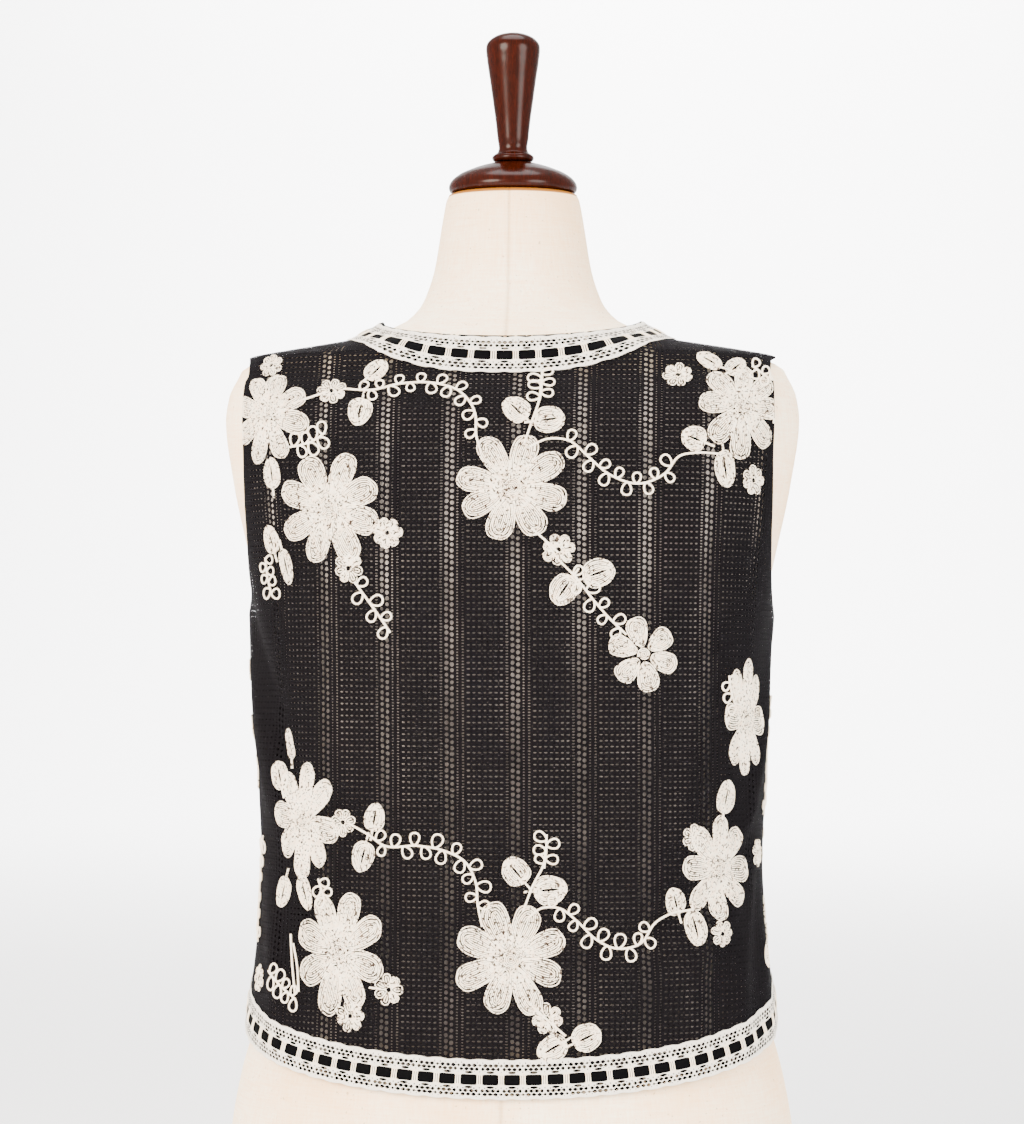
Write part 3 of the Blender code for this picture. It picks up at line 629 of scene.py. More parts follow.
# %% The yarn
# A loop of yarn about every 1.1 mm, drawn as small waves, and a fuzz finer than that. Round each
# eyelet the yarn stands up as a rim, which is what catches the light.
loops = add(
    tree, "TexWave", places, 0.42, 3.0, 2.0, 1.2, wave_type="BANDS", bands_direction="DIAGONAL"
)
fuzz = add(tree, "TexNoise", places, None, 1.7, 4.0)
yarn = add(tree, "Math", loops.outputs[1], fuzz, operation="MULTIPLY")
rim = add(tree, "MapRange", reach, 0.8, 2.6, 0.9, 0.0)
height = add(tree, "Math", yarn, rim, operation="ADD")
bump = add(tree, "Bump", 0.55, 0.0006, None, height)
tree.links.new(bump.outputs[0], shader.inputs["Normal"])
shade = add(tree, "Mix", yarn, data_type="RGBA")
shade.inputs[6].default_value = linear("#040304")
shade.inputs[7].default_value = linear("#131114")
tree.links.new(shade.outputs[2], shader.inputs["Base Color"])
print("yarn: tones", [round(value, 4) for value in linear("#131114")[:3]], "at the lightest")

# %% [markdown]
# ## Laying the panels
# Each panel is laid row by row and carries its flat places as a UV map, so that the eyelets keep
# their size. A number on each point says how shut the knit's eyelets are there: most in the narrow
# close band along the armhole, pulled half shut below the arm, and partly shut down the sides as
# painted shade.

# %% Lay the three panels
KNIT_THICK = 0.0007
ARMHOLE_BAND = 0.007
# Where the arm would pull the cloth: its height and half height, and where across it starts
UNDER_LEVEL, UNDER_HALF, UNDER_START, UNDER_FADE = 0.415, 0.055, 0.145, 0.05
# Eyelets are shut as painted shade where the sides hang in shade, from this angle on, up to this
# height
SIDE_START, SIDE_FADE, SIDE_TOP = 48, 14, 0.46
# How far the eyelets shut below the arm, and at the sides as painted shade
UNDER_CLOSENESS, SIDE_SHADE_CLOSENESS = 0.32, 0.22
# The knit runs on behind the lace's lower band by two rows of the grid, 8 mm
TURN_UP = 2
stands_for = {
    "knit_back": "back_panel",
    "knit_front_left": "front_left",
    "knit_front_right": "front_right",
}
for name, (side, half_angles, heights, front) in whole_panels(below_hem=TURN_UP).items():
    across, up = flat_place(half_angles, heights, front)
    texture = np.stack([side * across * 1000, up * 1000], -1)
    worn = garment_points(body_angle(half_angles, side, front), heights)
    piece, row, column = lay_grid(worn, texture)
    level = np.arange(len(heights)) - TURN_UP
    armhole = (level >= ROWS[0]) & (level <= ROWS[0] + ROWS[1])
    from_edge = across.max(axis=1, keepdims=True) - across
    density_and_shade = np.clip(1.4 - from_edge / ARMHOLE_BAND, 0, 1) * armhole[:, None]
    under = np.exp(-(((heights - UNDER_LEVEL) / UNDER_HALF) ** 2))
    under = under * np.clip((across - UNDER_START) / UNDER_FADE, 0, 1)
    density_and_shade = np.maximum(density_and_shade, UNDER_CLOSENESS * under)
    # Painted shade: the eyelets shut where the sides hang in shade
    sideways = np.clip((half_angles - SIDE_START) / SIDE_FADE, 0, 1) * (heights < SIDE_TOP)
    density_and_shade = np.maximum(density_and_shade, SIDE_SHADE_CLOSENESS * sideways)
    add_number(piece, "knit_closeness_and_shade", density_and_shade[row, column])
    area = sum(face.area for face in piece.data.polygons)
    apply_modifier(piece, "SOLIDIFY", thickness=KNIT_THICK, offset=-1)
    name_piece(piece, name, knit)
    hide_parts(stands_for[name])
    wide, high = (round(float(np.ptp(spread)), 4) for spread in (side * across, up))
    print(name, "flat:", wide, "by", high, "m,", round(area, 4), "m2")

# %% [markdown]
# ## Laying things on the cloth
# Lace, ribbon and cords lie on the knit. A search tree over the cloth, carried on a little below
# the hem, gives the nearest place and its normal, and each point is then lifted by its own height.

# %% The cloth as one surface
ROWS_BELOW_HEM = 6


def find_cloth():
    """A search tree over the three panels, carried on by a few rows below the hem."""
    points, faces = [], []
    for side, half_angles, heights, front in whole_panels(ROWS_BELOW_HEM).values():
        rows, columns = heights.shape
        first = len(points)
        worn = garment_points(body_angle(half_angles, side, front), heights)
        points.extend(worn.reshape(-1, 3).tolist())
        for i in range(rows - 1):
            for j in range(columns - 1):
                a = first + i * columns + j
                faces.append((a, a + 1, a + columns + 1, a + columns))
    return BVHTree.FromPolygons(points, faces)


cloth = find_cloth()


def on_cloth(points, lift):
    """Moves points to the cloth, then out by their lift."""
    flat_points = points.reshape(-1, 3)
    lifts = np.broadcast_to(lift, points.shape[:-1]).ravel()
    laid = np.empty_like(flat_points)
    for i, (point, up) in enumerate(zip(flat_points, lifts)):
        place, normal, _, _ = cloth.find_nearest(Vector(point))
        laid[i] = place + normal * up
    return laid.reshape(points.shape)


def unit(rows):
    """Each row scaled to a length of 1."""
    return rows / np.linalg.norm(rows, axis=-1, keepdims=True)


LINE_POINTS = 600
END_BLEND = 0.020


def edge_line(at_hem):
    """One run round the whole edge: points, the way into the cloth, and the length so far."""
    row, next_row = (0, 1) if at_hem else (-1, -2)
    order = ("knit_front_left", "knit_back", "knit_front_right")
    runs, inner = [], []
    for name in order:
        side, half_angles, heights, front = whole_panels()[name]
        angles = body_angle(half_angles, side, front)
        runs.append(garment_points(angles[row], heights[row]))
        inner.append(garment_points(angles[next_row], heights[next_row]))
    path, inner = np.concatenate(runs), np.concatenate(inner)
    steps = np.linalg.norm(np.diff(path, axis=0), axis=1)
    length = np.concatenate([[0], np.cumsum(steps)])
    even = np.linspace(0, length[-1], LINE_POINTS)
    line = np.stack([np.interp(even, length, path[:, k]) for k in range(3)], -1)
    normal = np.array([cloth.find_nearest(Vector(p))[1] for p in line])
    inwards = unit(np.cross(normal, unit(np.gradient(line, axis=0)))) * (1 if at_hem else -1)
    for end in (0, -1):
        share = np.exp(-(((even - even[end]) / END_BLEND) ** 2))[:, None]
        inwards = unit(inwards * (1 - share) + unit(inner[end] - path[end]) * share)
    return {"line": line, "inwards": inwards, "length": even}


EDGES = {"hem": edge_line(True), "neck": edge_line(False)}
for name, edge in EDGES.items():
    print(name, "edge is", round(float(edge["length"][-1]), 4), "long")

# %% [markdown]
# ## Beading lace
# Beading lace has slots for a ribbon: an upper and a lower band of crochet, joined by bars of a few
# threads each. The bands have gently scalloped outer edges and small diamond holes in groups. Each
# band is a long grid bent round the edge, the bars are short cords over the ribbon, and the small
# holes are made clear by the material.

# %% Lace sizes, and places along an edge
# In metres, from the lace's lower edge up. It reaches below the hem, and ends just inside the
# neck's edge.
LACE_WIDTH, LACE_REPEAT, LACE_BAR = 0.026, 0.0142, 0.0038
UPPER_BAND, LOWER_BAND = 0.0098, 0.0093
BELOW_HEM, BELOW_NECK_EDGE = 0.0095, 0.0012
LACE_THICK, RIBBON_THICK, RIBBON_WIDTH = 0.0004, 0.00025, 0.0078


def lay_strip(edge_name, along, high, lift):
    """Points of a strip: along the edge, high from the lace's lower edge, lifted off the cloth."""
    edge = EDGES[edge_name]
    along, high, lift = np.broadcast_arrays(along, high, lift)
    inward = high - BELOW_HEM if edge_name == "hem" else BELOW_NECK_EDGE + LACE_WIDTH - high
    line, inwards = (
        np.stack([np.interp(along, edge["length"], edge[key][:, k]) for k in range(3)], -1)
        for key in ("line", "inwards")
    )
    return on_cloth(line + unit(inwards) * inward[..., None], lift)


def repeats_of(edge_name):
    """How many slots fit along an edge."""
    return round(EDGES[edge_name]["length"][-1] / LACE_REPEAT)


print("lace repeats:", {name: repeats_of(name) for name in EDGES})

# %% [markdown]
# ## Crochet
# The lace is worked with a hook in firm cotton, so it is a mass of small rounded stitches with
# open diamonds between them. The diamonds are 3.2 mm wide at most, too many and too small to cut,
# so the material makes the middle of each cell clear, and one short slit beside the ribbon.

# %% Crochet material
# All in millimetres: the step between holes, the rows of holes, and half a hole's size
HOLE_STEP, HOLE_ROW = 3.55, 2.3
HOLE_HALF_WIDTH, HOLE_HALF_HEIGHT = 1.65, 1.50
lace, tree, shader = new_material(
    "cream_crochet_cotton", Base_Color=linear("#f4efe8"), Roughness=0.85, Specular_IOR_Level=0.2
)
places = add(tree, "UVMap", uv_map="UVMap")
flat = add(tree, "SeparateXYZ", places)
# Each row of diamonds is shifted by half a step from the one below it
level = add(tree, "Math", flat.outputs[1], 1 / HOLE_ROW, operation="MULTIPLY")
which = add(tree, "Math", level, operation="FLOOR")
odd = add(tree, "Math", which, 2.0, operation="MODULO")
half = add(tree, "Math", odd, 0.5, operation="MULTIPLY")
cells = add(tree, "Math", flat.outputs[0], 1 / HOLE_STEP, operation="MULTIPLY")
cells = add(tree, "Math", cells, half, operation="ADD")
cell_x = add(tree, "Math", cells, operation="FRACT")
cell_x = add(tree, "Math", cell_x, 0.5, operation="SUBTRACT")
cell_x = add(tree, "Math", cell_x, operation="ABSOLUTE")
cell_y = add(tree, "Math", level, operation="FRACT")
cell_y = add(tree, "Math", cell_y, 0.5, operation="SUBTRACT")
cell_y = add(tree, "Math", cell_y, operation="ABSOLUTE")
cell_x = add(tree, "Math", cell_x, HOLE_STEP / HOLE_HALF_WIDTH, operation="MULTIPLY")
cell_y = add(tree, "Math", cell_y, HOLE_ROW / HOLE_HALF_HEIGHT, operation="MULTIPLY")
diamond = add(tree, "Math", cell_x, cell_y, operation="ADD")
uneven = add(tree, "TexNoise", places, None, 0.35, 2.0)
uneven = add(tree, "MapRange", uneven, 0.3, 0.7, 0.76, 1.04)
diamond = add(tree, "Math", diamond, uneven, operation="MULTIPLY")
# The holes stay away from a band's edges, and thin out beside each bar
group = add(tree, "Attribute", attribute_name="holes")
diamond = add(tree, "Math", diamond, group.outputs[2], operation="ADD")
# Beside the ribbon lies one short slit between two bars: its place is 0 in its middle
slit = add(tree, "Attribute", attribute_name="slit")
opening = add(tree, "Math", diamond, slit.outputs[2], operation="MINIMUM")
solid = add(tree, "MapRange", opening, 0.85, 1.1, 0.0, 1.0, interpolation_type="SMOOTHSTEP")
tree.links.new(solid.outputs[0], shader.inputs["Alpha"])
# Stitches about 1.3 mm wide, with rounded thread between them
stitches = add(tree, "TexVoronoi", places, None, 0.75, feature="SMOOTH_F1")
threads = add(tree, "TexWave", places, 0.9, 2.0, 2.0, 1.0, wave_type="BANDS", bands_direction="Y")
relief = add(tree, "Math", stitches, 0.6, operation="MULTIPLY")
relief = add(tree, "Math", threads.outputs[1], relief, operation="SUBTRACT")
bump = add(tree, "Bump", 0.6, 0.0008, None, relief)
tree.links.new(bump.outputs[0], shader.inputs["Normal"])
shade = add(tree, "MapRange", relief, -0.4, 0.7, 0.0, 1.0)
tone = add(tree, "Mix", shade, data_type="RGBA")
tone.inputs[6].default_value = linear("#f0e4d2")
tone.inputs[7].default_value = linear("#fffaf0")
tree.links.new(tone.outputs[2], shader.inputs["Base Color"])
print("crochet: diamonds 3.2 by 2.9 mm at most, every", HOLE_STEP, "mm")

# %% [markdown]
# ## Cotton cord
# The embroidery and the lace's bars are of soft two-strand cotton cord. Up close the eye sees its
# twist, and over a filled petal short gaps where two cords part, painted in as shade. The twist is
# a wave that runs round the cord as it goes along, on the cord's own texture axes.

# %% Twisted cotton cord
TWIST = 1.6


def cord_material(name, gap_shade):
    """Cream cotton cord. Its second argument is the share of it that painted shade takes up, in
    gaps between two cords.
    """
    made, tree, shader = new_material(
        name, Base_Color=linear("#f6e2c9"), Roughness=0.78, Specular_IOR_Level=0.2
    )
    shader.inputs["Sheen Weight"].default_value = 0.1
    shader.inputs["Sheen Tint"].default_value = linear("#fff2e2")
    # The first texture axis runs along the cord in millimetres, the second once round it: where
    # both rise together, the strands twist.
    flat = add(tree, "SeparateXYZ", add(tree, "UVMap", uv_map="UVMap"))
    turns = add(tree, "Math", flat.outputs[0], 1 / TWIST, operation="MULTIPLY")
    turns = add(tree, "Math", turns, flat.outputs[1], operation="ADD")
    strand = add(tree, "Math", turns, 2 * math.tau, operation="MULTIPLY")
    strand = add(tree, "Math", strand, operation="SINE")
    bump = add(tree, "Bump", 0.5, 0.0003, None, strand)
    tree.links.new(bump.outputs[0], shader.inputs["Normal"])
    here = add(tree, "TexCoord")
    uneven = add(tree, "TexNoise", here.outputs[3], None, 420.0, 3.0)
    blend = add(tree, "MapRange", uneven, 0.34, 0.58, 0.0, 1.0)
    tone = add(tree, "Mix", blend, data_type="RGBA")
    tone.inputs[6].default_value = linear("#fbe3c6")
    tone.inputs[7].default_value = linear("#fff3de")
    # Painted shade: short gaps about 1 mm long, where two cords part and the knit shows in their
    # shadow
    gaps = add(tree, "TexNoise", here.outputs[3], None, 620.0, 1.0)
    gaps = add(tree, "MapRange", gaps, 0.70 - gap_shade, 0.735 - gap_shade, 0.0, 1.0)
    gap_shade_mix = add(tree, "Mix", gaps, data_type="RGBA")
    tree.links.new(tone.outputs[2], gap_shade_mix.inputs[6])
    gap_shade_mix.inputs[7].default_value = linear("#3a2d26")
    tree.links.new(gap_shade_mix.outputs[2], shader.inputs["Base Color"])
    return made


cord = cord_material("cream_twisted_cotton_cord", gap_shade=-0.2)
filling = cord_material("cream_couched_cord_filling", gap_shade=0.11)
print("cord: one twist in", TWIST, "mm")

# %% [markdown]
# ## Making cords
# A cord is a curve with a round section. Hundreds of loops are drawn as splines of one curve, which
# is turned into a mesh once, because one conversion is far quicker than hundreds.

# %% Cords as curves
CORD_SIDES = 6


def add_cords(paths, radius, closed):
    """One mesh of many cords. Each path is an array of points along a cord's middle."""
    curve = bpy.data.curves.new("cords", "CURVE")
    curve.dimensions = "3D"
    curve.bevel_depth = radius
    curve.bevel_resolution = 1
    curve.use_fill_caps = True
    lengths, faces = [], []
    for path in paths:
        spline = curve.splines.new("POLY")
        spline.points.add(len(path) - 1)
        spline.points.foreach_set("co", np.column_stack([path, np.ones(len(path))]).ravel())
        spline.use_cyclic_u = closed
        ring = np.vstack([path, path[:1]]) if closed else path
        lengths.append(np.linalg.norm(np.diff(ring, axis=0), axis=1).sum() * 1000)
        faces.append(CORD_SIDES * (len(ring) - 1))
    piece = bpy.data.objects.new("cords", curve)
    bpy.context.scene.collection.objects.link(piece)
    bpy.ops.object.select_all(action="DESELECT")
    piece.select_set(True)
    bpy.context.view_layer.objects.active = piece
    bpy.ops.object.convert(target="MESH")
    piece = bpy.context.object
    # The texture's first axis runs from 0 to 1 on each cord: it is stretched to millimetres
    mesh = piece.data
    total = np.zeros(len(mesh.polygons), int)
    mesh.polygons.foreach_get("loop_total", total)
    along = np.ones(len(total))
    along[total == 4] = np.repeat(lengths, faces)
    places = np.zeros(len(mesh.loops) * 2)
    mesh.uv_layers[0].data.foreach_get("uv", places)
    places = places.reshape(-1, 2)
    places[:, 0] *= np.repeat(along, total)
    mesh.uv_layers[0].data.foreach_set("uv", places.ravel())
    return piece


def join_pieces(pieces):
    """Makes one object of several."""
    bpy.ops.object.select_all(action="DESELECT")
    for piece in pieces:
        piece.select_set(True)
    bpy.context.view_layer.objects.active = pieces[0]
    bpy.ops.object.join()
    return pieces[0]


# %% [markdown]
# ## Laying the lace
# Each band is a grid along the edge whose outer side waves in and out. Numbers on its points keep
# the diamonds in groups, away from the edges. The bars are three threads each, pinched together in
# their middle, and they arch over the ribbon.

# %% The bands
COLUMNS_PER_REPEAT, HOLES_PER_REPEAT = 16, 4
BAND_ROWS = 15
# In metres: how deep the scallops are, how far a band lies off the cloth, and how much it curls
# up beside the slots
SCALLOP, BAND_LIFT, BAND_CURL = 0.0007, 0.00035, 0.0005
# In millimetres from the slot: the middle of the rows of diamonds and half their height
HOLES_MIDDLE, HOLES_HALF = 4.7, 2.5
# The short slit's place from the ribbon's slot, and half its width and height
SLIT_PLACE, SLIT_HALF_WIDTH, SLIT_HALF_HEIGHT = 1.35, 2.8, 0.95


def add_band(edge_name, upper):
    """One of the lace's two bands, from its slot edge to its scalloped outer edge."""
    count = repeats_of(edge_name)
    pitch = EDGES[edge_name]["length"][-1] / count
    along = np.linspace(0, count * pitch, count * COLUMNS_PER_REPEAT + 1)
    phase = along / pitch
    slot_side = (LACE_WIDTH - UPPER_BAND) if upper else LOWER_BAND
    outer_side = LACE_WIDTH if upper else 0.0
    way = 1 if upper else -1
    near_bar = np.exp(-(((phase - np.rint(phase)) * pitch / (0.62 * LACE_BAR)) ** 4))
    slot_edge = slot_side - way * SCALLOP * near_bar
    outer_edge = outer_side - way * SCALLOP * (0.5 - 0.5 * np.cos(math.tau * phase)) ** 2
    share = np.linspace(0, 1, BAND_ROWS)[:, None]
    high = slot_edge * (1 - share) + outer_edge * share
    if not upper:
        high, share = high[::-1], share[::-1]
    lift = BAND_LIFT + BAND_CURL * (1 - share) ** 2
    holes_along = np.broadcast_to(phase * HOLES_PER_REPEAT * HOLE_STEP, high.shape)
    texture = np.stack([holes_along, high * 1000], -1)
    piece, row, column = lay_grid(lay_strip(edge_name, along[None, :], high, lift), texture)
    # Where diamonds may be: 0 well inside the band, rising to its edges and a little at each bar
    middle = np.abs(phase - np.floor(phase) - 0.5) * pitch * 1000
    from_slot = share * (UPPER_BAND if upper else LOWER_BAND) * 1000
    rim = np.clip((np.abs(from_slot - HOLES_MIDDLE) - HOLES_HALF) * 1.2, 0, 1)
    group = rim + 0.35 * np.clip(middle[None, :] - 5.2, 0, 1)
    add_number(piece, "holes", group[row, column])
    slit = np.hypot(middle[None, :] / SLIT_HALF_WIDTH, (from_slot - SLIT_PLACE) / SLIT_HALF_HEIGHT)
    add_number(piece, "slit", slit[row, column])
    apply_modifier(piece, "SOLIDIFY", thickness=LACE_THICK, offset=1)
    return piece


print("a band has", BAND_ROWS - 1, "by", COLUMNS_PER_REPEAT, "faces for each slot")

# %% The bars, and the lace on both edges
BAR_THREADS = (-0.0015, 0.0, 0.0015)
BAR_POINTS = 6
THREAD_RADIUS = 0.00044
# The end bars stand in by this much, and each bar reaches this far on to the bands
END_BAR_INSET, BAR_OVERLAP = 0.0021, 0.0009
# How high a bar lies, how much it arches, and the share by which its threads draw together
BAR_LIFT, BAR_ARCH, BAR_PINCH = 0.00105, 0.0003, 0.14


def add_bars(edge_name):
    """The bars: a few threads each, over the ribbon from band to band."""
    count = repeats_of(edge_name)
    pitch = EDGES[edge_name]["length"][-1] / count
    centres = np.arange(count + 1) * pitch
    centres[0] += END_BAR_INSET
    centres[-1] -= END_BAR_INSET
    top = LACE_WIDTH - UPPER_BAND + BAR_OVERLAP
    high = np.linspace(LOWER_BAND - BAR_OVERLAP, top, BAR_POINTS)
    arch = np.sin(np.linspace(0, math.pi, BAR_POINTS))
    lift = BAR_LIFT + BAR_ARCH * arch
    threads = (centres[:, None] + np.array(BAR_THREADS)[None, :]).ravel()
    pinch = 1 - BAR_PINCH * arch
    offset = np.tile(BAR_THREADS, len(centres))[:, None] * (pinch[None, :] - 1)
    points = lay_strip(edge_name, threads[:, None] + offset, high[None, :], lift[None, :])
    return add_cords(list(points), THREAD_RADIUS, False)


for edge_name in ("neck", "hem"):
    bands = [add_band(edge_name, True), add_band(edge_name, False)]
    piece = name_piece(join_pieces(bands), edge_name + "_crochet_bands", lace)
    bars = name_piece(add_bars(edge_name), edge_name + "_crochet_bars", cord)
    nodes = [f"{edge_name}_{part}_lace" for part in ("back", "front_left", "front_right")]
    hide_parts(*nodes)
    faces = [len(made.data.polygons) for made in (piece, bars)]
    print(edge_name, "lace:", faces[0], "faces in the bands and", faces[1], "in the bars")

# %% [markdown]
# ## The ribbon
# A narrow black ribbon runs through the slots, pressed flat under each bar and puffed a little
# between two. It is a strip like the lace, with its height rising between the bars.

# %% Ribbon material and the ribbon
ribbon, tree, shader = new_material(
    "black_satin_ribbon", Base_Color=linear("#020203"), Roughness=0.7, Specular_IOR_Level=0.03
)
places = add(tree, "UVMap", uv_map="UVMap")
flat = add(tree, "SeparateXYZ", places)
# Fine cross ribs, 0.4 mm apart on the real ribbon, drawn 0.8 mm apart so that they show
RIB_STEP = 0.8
ribs = add(tree, "Math", flat.outputs[0], math.tau / RIB_STEP, operation="MULTIPLY")
ribs = add(tree, "Math", ribs, operation="SINE")
slub = add(tree, "TexNoise", places, None, 0.5, 2.0)
ribs = add(tree, "Math", ribs, slub, operation="MULTIPLY")
bump = add(tree, "Bump", 0.18, 0.0003, None, ribs)
tree.links.new(bump.outputs[0], shader.inputs["Normal"])
gloss = add(tree, "MapRange", slub, 0.3, 0.7, 0.62, 0.76)
tree.links.new(gloss.outputs[0], shader.inputs["Roughness"])

# How far the ribbon lies off the cloth under a bar, and how much it puffs up between two
RIBBON_LIFT, RIBBON_PUFF = 0.00022, 0.00035
COLUMNS_PER_PUFF, ROWS_ACROSS = 8, 7
for edge_name in ("neck", "hem"):
    count = repeats_of(edge_name)
    pitch = EDGES[edge_name]["length"][-1] / count
    along = np.linspace(0, count * pitch, count * COLUMNS_PER_PUFF + 1)
    middle = (LOWER_BAND + LACE_WIDTH - UPPER_BAND) / 2
    share = np.linspace(-1, 1, ROWS_ACROSS)[:, None]
    puff = np.sin(math.pi * along / pitch) ** 2
    lift = RIBBON_LIFT + RIBBON_PUFF * puff[None, :] * (1 - share**2)
    high = middle + share * RIBBON_WIDTH / 2
    texture = np.stack(np.broadcast_arrays(along[None, :] * 1000, high * 1000), -1)
    piece, _, _ = lay_grid(lay_strip(edge_name, along[None, :], high, lift), texture)
    apply_modifier(piece, "SOLIDIFY", thickness=RIBBON_THICK, offset=1)
    name_piece(piece, edge_name + "_satin_ribbon", ribbon)
    nodes = [f"{edge_name}_{part}_ribbon" for part in ("back", "front_left", "front_right")]
    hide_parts(*nodes)
    print(edge_name, "ribbon:", len(piece.data.polygons), "faces")

# %% [markdown]
# ## Corded flowers
# The embroidery is a soft cream cord, laid in loops and sewn down. A petal or a leaf is filled with
# loops that follow its outline, one inside the other, down to a short slit. So one function makes
# the loops of a petal on the flat cloth, and flowers, leaves and small flowers are all built of it.

# %% Loops of a petal
# Millimetres between two loops, and the cords' radii in metres
FILL_PITCH, FILL_RADIUS, STEM_RADIUS = 1.18, 0.00047, 0.00078
# A loop has a point about every so many millimetres, and wavers by these shares of its size
LOOP_STEP = 1.9
SLOW_WAVER, QUICK_WAVER = 0.024, 0.014
vary = np.random.default_rng(7)


def petal_loops(middle, way, length, width, slit=0.5, flare=0.2, long_slit=0.0):
    """Loops of cord that fill an egg shape, in millimetres, with its wide end at `way` degrees.

    slit is half the width of the innermost loop, and long_slit the least share of the length
    that it keeps.
    """
    turn = math.radians(way)
    ahead = np.array([math.cos(turn), math.sin(turn)])
    left = np.array([-ahead[1], ahead[0]])
    loops = []
    half_long, half_wide = length / 2 - FILL_PITCH / 2, width / 2 - FILL_PITCH / 2
    count = max(2, round((half_wide - slit) / FILL_PITCH) + 1)
    for inset in np.linspace(0, half_wide - slit, count):
        wide = half_wide - inset
        keep = inset / (half_wide - slit)
        long = max(half_long - inset, half_long * (1 - keep + keep * long_slit))
        steps = max(12, round(math.pi * (long + wide) / LOOP_STEP))
        t = np.linspace(0, math.tau, steps, endpoint=False) + vary.uniform(0, 1)
        wave = 1 + SLOW_WAVER * np.sin(3 * t + vary.uniform(0, 6))
        wave = wave + QUICK_WAVER * np.sin(7 * t + vary.uniform(0, 6))
        ahead_by = np.sign(np.cos(t)) * np.abs(np.cos(t)) ** 0.85 * long * wave
        left_by = np.sin(t) * wide * (1 + flare * np.cos(t)) * wave
        loops.append(np.array(middle) + ahead_by[:, None] * ahead + left_by[:, None] * left)
    return loops


def flower_loops(middle, reach, petals, turn, width, start=4.5, slit=0.72):
    """All the petals of a flower, a little uneven, as sewn by hand."""
    loops = []
    for i in range(petals):
        way = turn + (i + 0.5) * 360 / petals + vary.uniform(-4, 4)
        far = reach * vary.uniform(0.93, 1.06)
        at = math.radians(way)
        centre = np.array(middle) + (start + far) / 2 * np.array([math.cos(at), math.sin(at)])
        wide = width * vary.uniform(0.93, 1.06)
        loops += petal_loops(centre, way, far - start, wide, slit, flare=0.4, long_slit=0.3)
    return loops


def spiral(middle, radius, pitch=FILL_PITCH):
    """The coil in a flower's middle."""
    turns = radius / pitch
    t = np.linspace(0.25, turns, max(8, round(turns * 12)))
    ring = np.stack([np.cos(math.tau * t), np.sin(math.tau * t)], -1) * (t * pitch)[:, None]
    return np.array(middle) + ring


def smooth_line(points, step=1.6):
    """A smooth line through a few points, with a point every `step` millimetres."""
    points = np.asarray(points, float)
    chord = np.concatenate([[0], np.cumsum(np.linalg.norm(np.diff(points, axis=0), axis=1))])
    tangent = np.gradient(points, chord, axis=0)
    at = np.linspace(0, chord[-1], max(4, round(chord[-1] / step)))
    i = np.clip(np.searchsorted(chord, at) - 1, 0, len(points) - 2)
    span = (chord[i + 1] - chord[i])[:, None]
    t = (at - chord[i])[:, None] / span
    start = (1 + 2 * t) * (1 - t) ** 2 * points[i] + t * (1 - t) ** 2 * span * tangent[i]
    end = t * t * (3 - 2 * t) * points[i + 1] - t * t * (1 - t) * span * tangent[i + 1]
    return start + end


def vine_loops(line, first, last, spacing=6.7, size=8.3):
    """Rings of cord on both sides of a stem in turn, with its ends left bare."""
    length = np.concatenate([[0], np.cumsum(np.linalg.norm(np.diff(line, axis=0), axis=1))])
    ways = np.gradient(line, axis=0)
    rings, side = [], 1
    for at in np.arange(first, length[-1] - last, spacing):
        at += vary.uniform(-0.7, 0.7)
        foot = np.array([np.interp(at, length, line[:, k]) for k in range(2)])
        way = np.array([np.interp(at, length, ways[:, k]) for k in range(2)])
        lean = math.degrees(math.atan2(way[1], way[0])) + side * vary.uniform(62, 92)
        reach = size * vary.uniform(0.84, 1.14)
        ahead = np.array([math.cos(math.radians(lean)), math.sin(math.radians(lean))])
        left = np.array([-ahead[1], ahead[0]])
        t = np.linspace(0, math.tau, 14, endpoint=False)
        far, wide = np.cos(t) * reach / 2, np.sin(t) * reach * 0.37 * (1 + 0.3 * np.cos(t))
        rings.append(foot + (reach / 2 + 0.2) * ahead + far[:, None] * ahead + wide[:, None] * left)
        side = -side
    return rings


EDGE_PLACES = {front: [grid[:, -1] for grid in half_panel(front)] for front in (False, True)}
# How many degrees the cords stay from the armhole's edge, and how far off the knit they lie
EDGE_MARGIN, CORD_CLEARANCE = 0.7, 0.00005


def sew_on(flat_lines, front, radius, closed, extra=0.0):
    """Cords along lines of the flat cloth, in millimetres, laid on the worn cloth.

    A cord that would run past the armhole's edge turns along it, as if it were sewn down there.
    """
    counts = [len(line) for line in flat_lines]
    flat_points = np.concatenate(flat_lines) / 1000
    angle, height = worn_place(flat_points[:, 0], flat_points[:, 1], front)
    edge_angles, edge_heights = EDGE_PLACES[front]
    limit = np.interp(height, edge_heights, edge_angles) - EDGE_MARGIN
    if front:
        angle = np.sign(angle) * np.maximum(np.abs(angle), 180 - limit)
    else:
        angle = np.clip(angle, -limit, limit)
    points = garment_points(angle, height)
    points = points + outward(garment_points, angle, height) * (radius + extra + CORD_CLEARANCE)
    return add_cords(np.split(points, np.cumsum(counts)[:-1]), radius, closed)


def flat_spot(angle, height):
    """Flat cloth millimetres of a place on the body, and which half it is on."""
    front = abs(angle) > 90
    half_angle = 180 - abs(angle) if front else abs(angle)
    across, up = flat_place(np.array(float(half_angle)), np.array(float(height)), front)
    return np.array([math.copysign(float(across), angle), float(up)]) * 1000, front


print("flower 1 lies at", flat_spot(2.0, 0.5335)[0].round(1), "mm on the flat back")

# %% [markdown]
# ## Large flowers
# Each flower is laid where the plain model has it, with the number of petals that it has there.
# The cords lie on the cloth's outer face, so that none sinks into the knit.

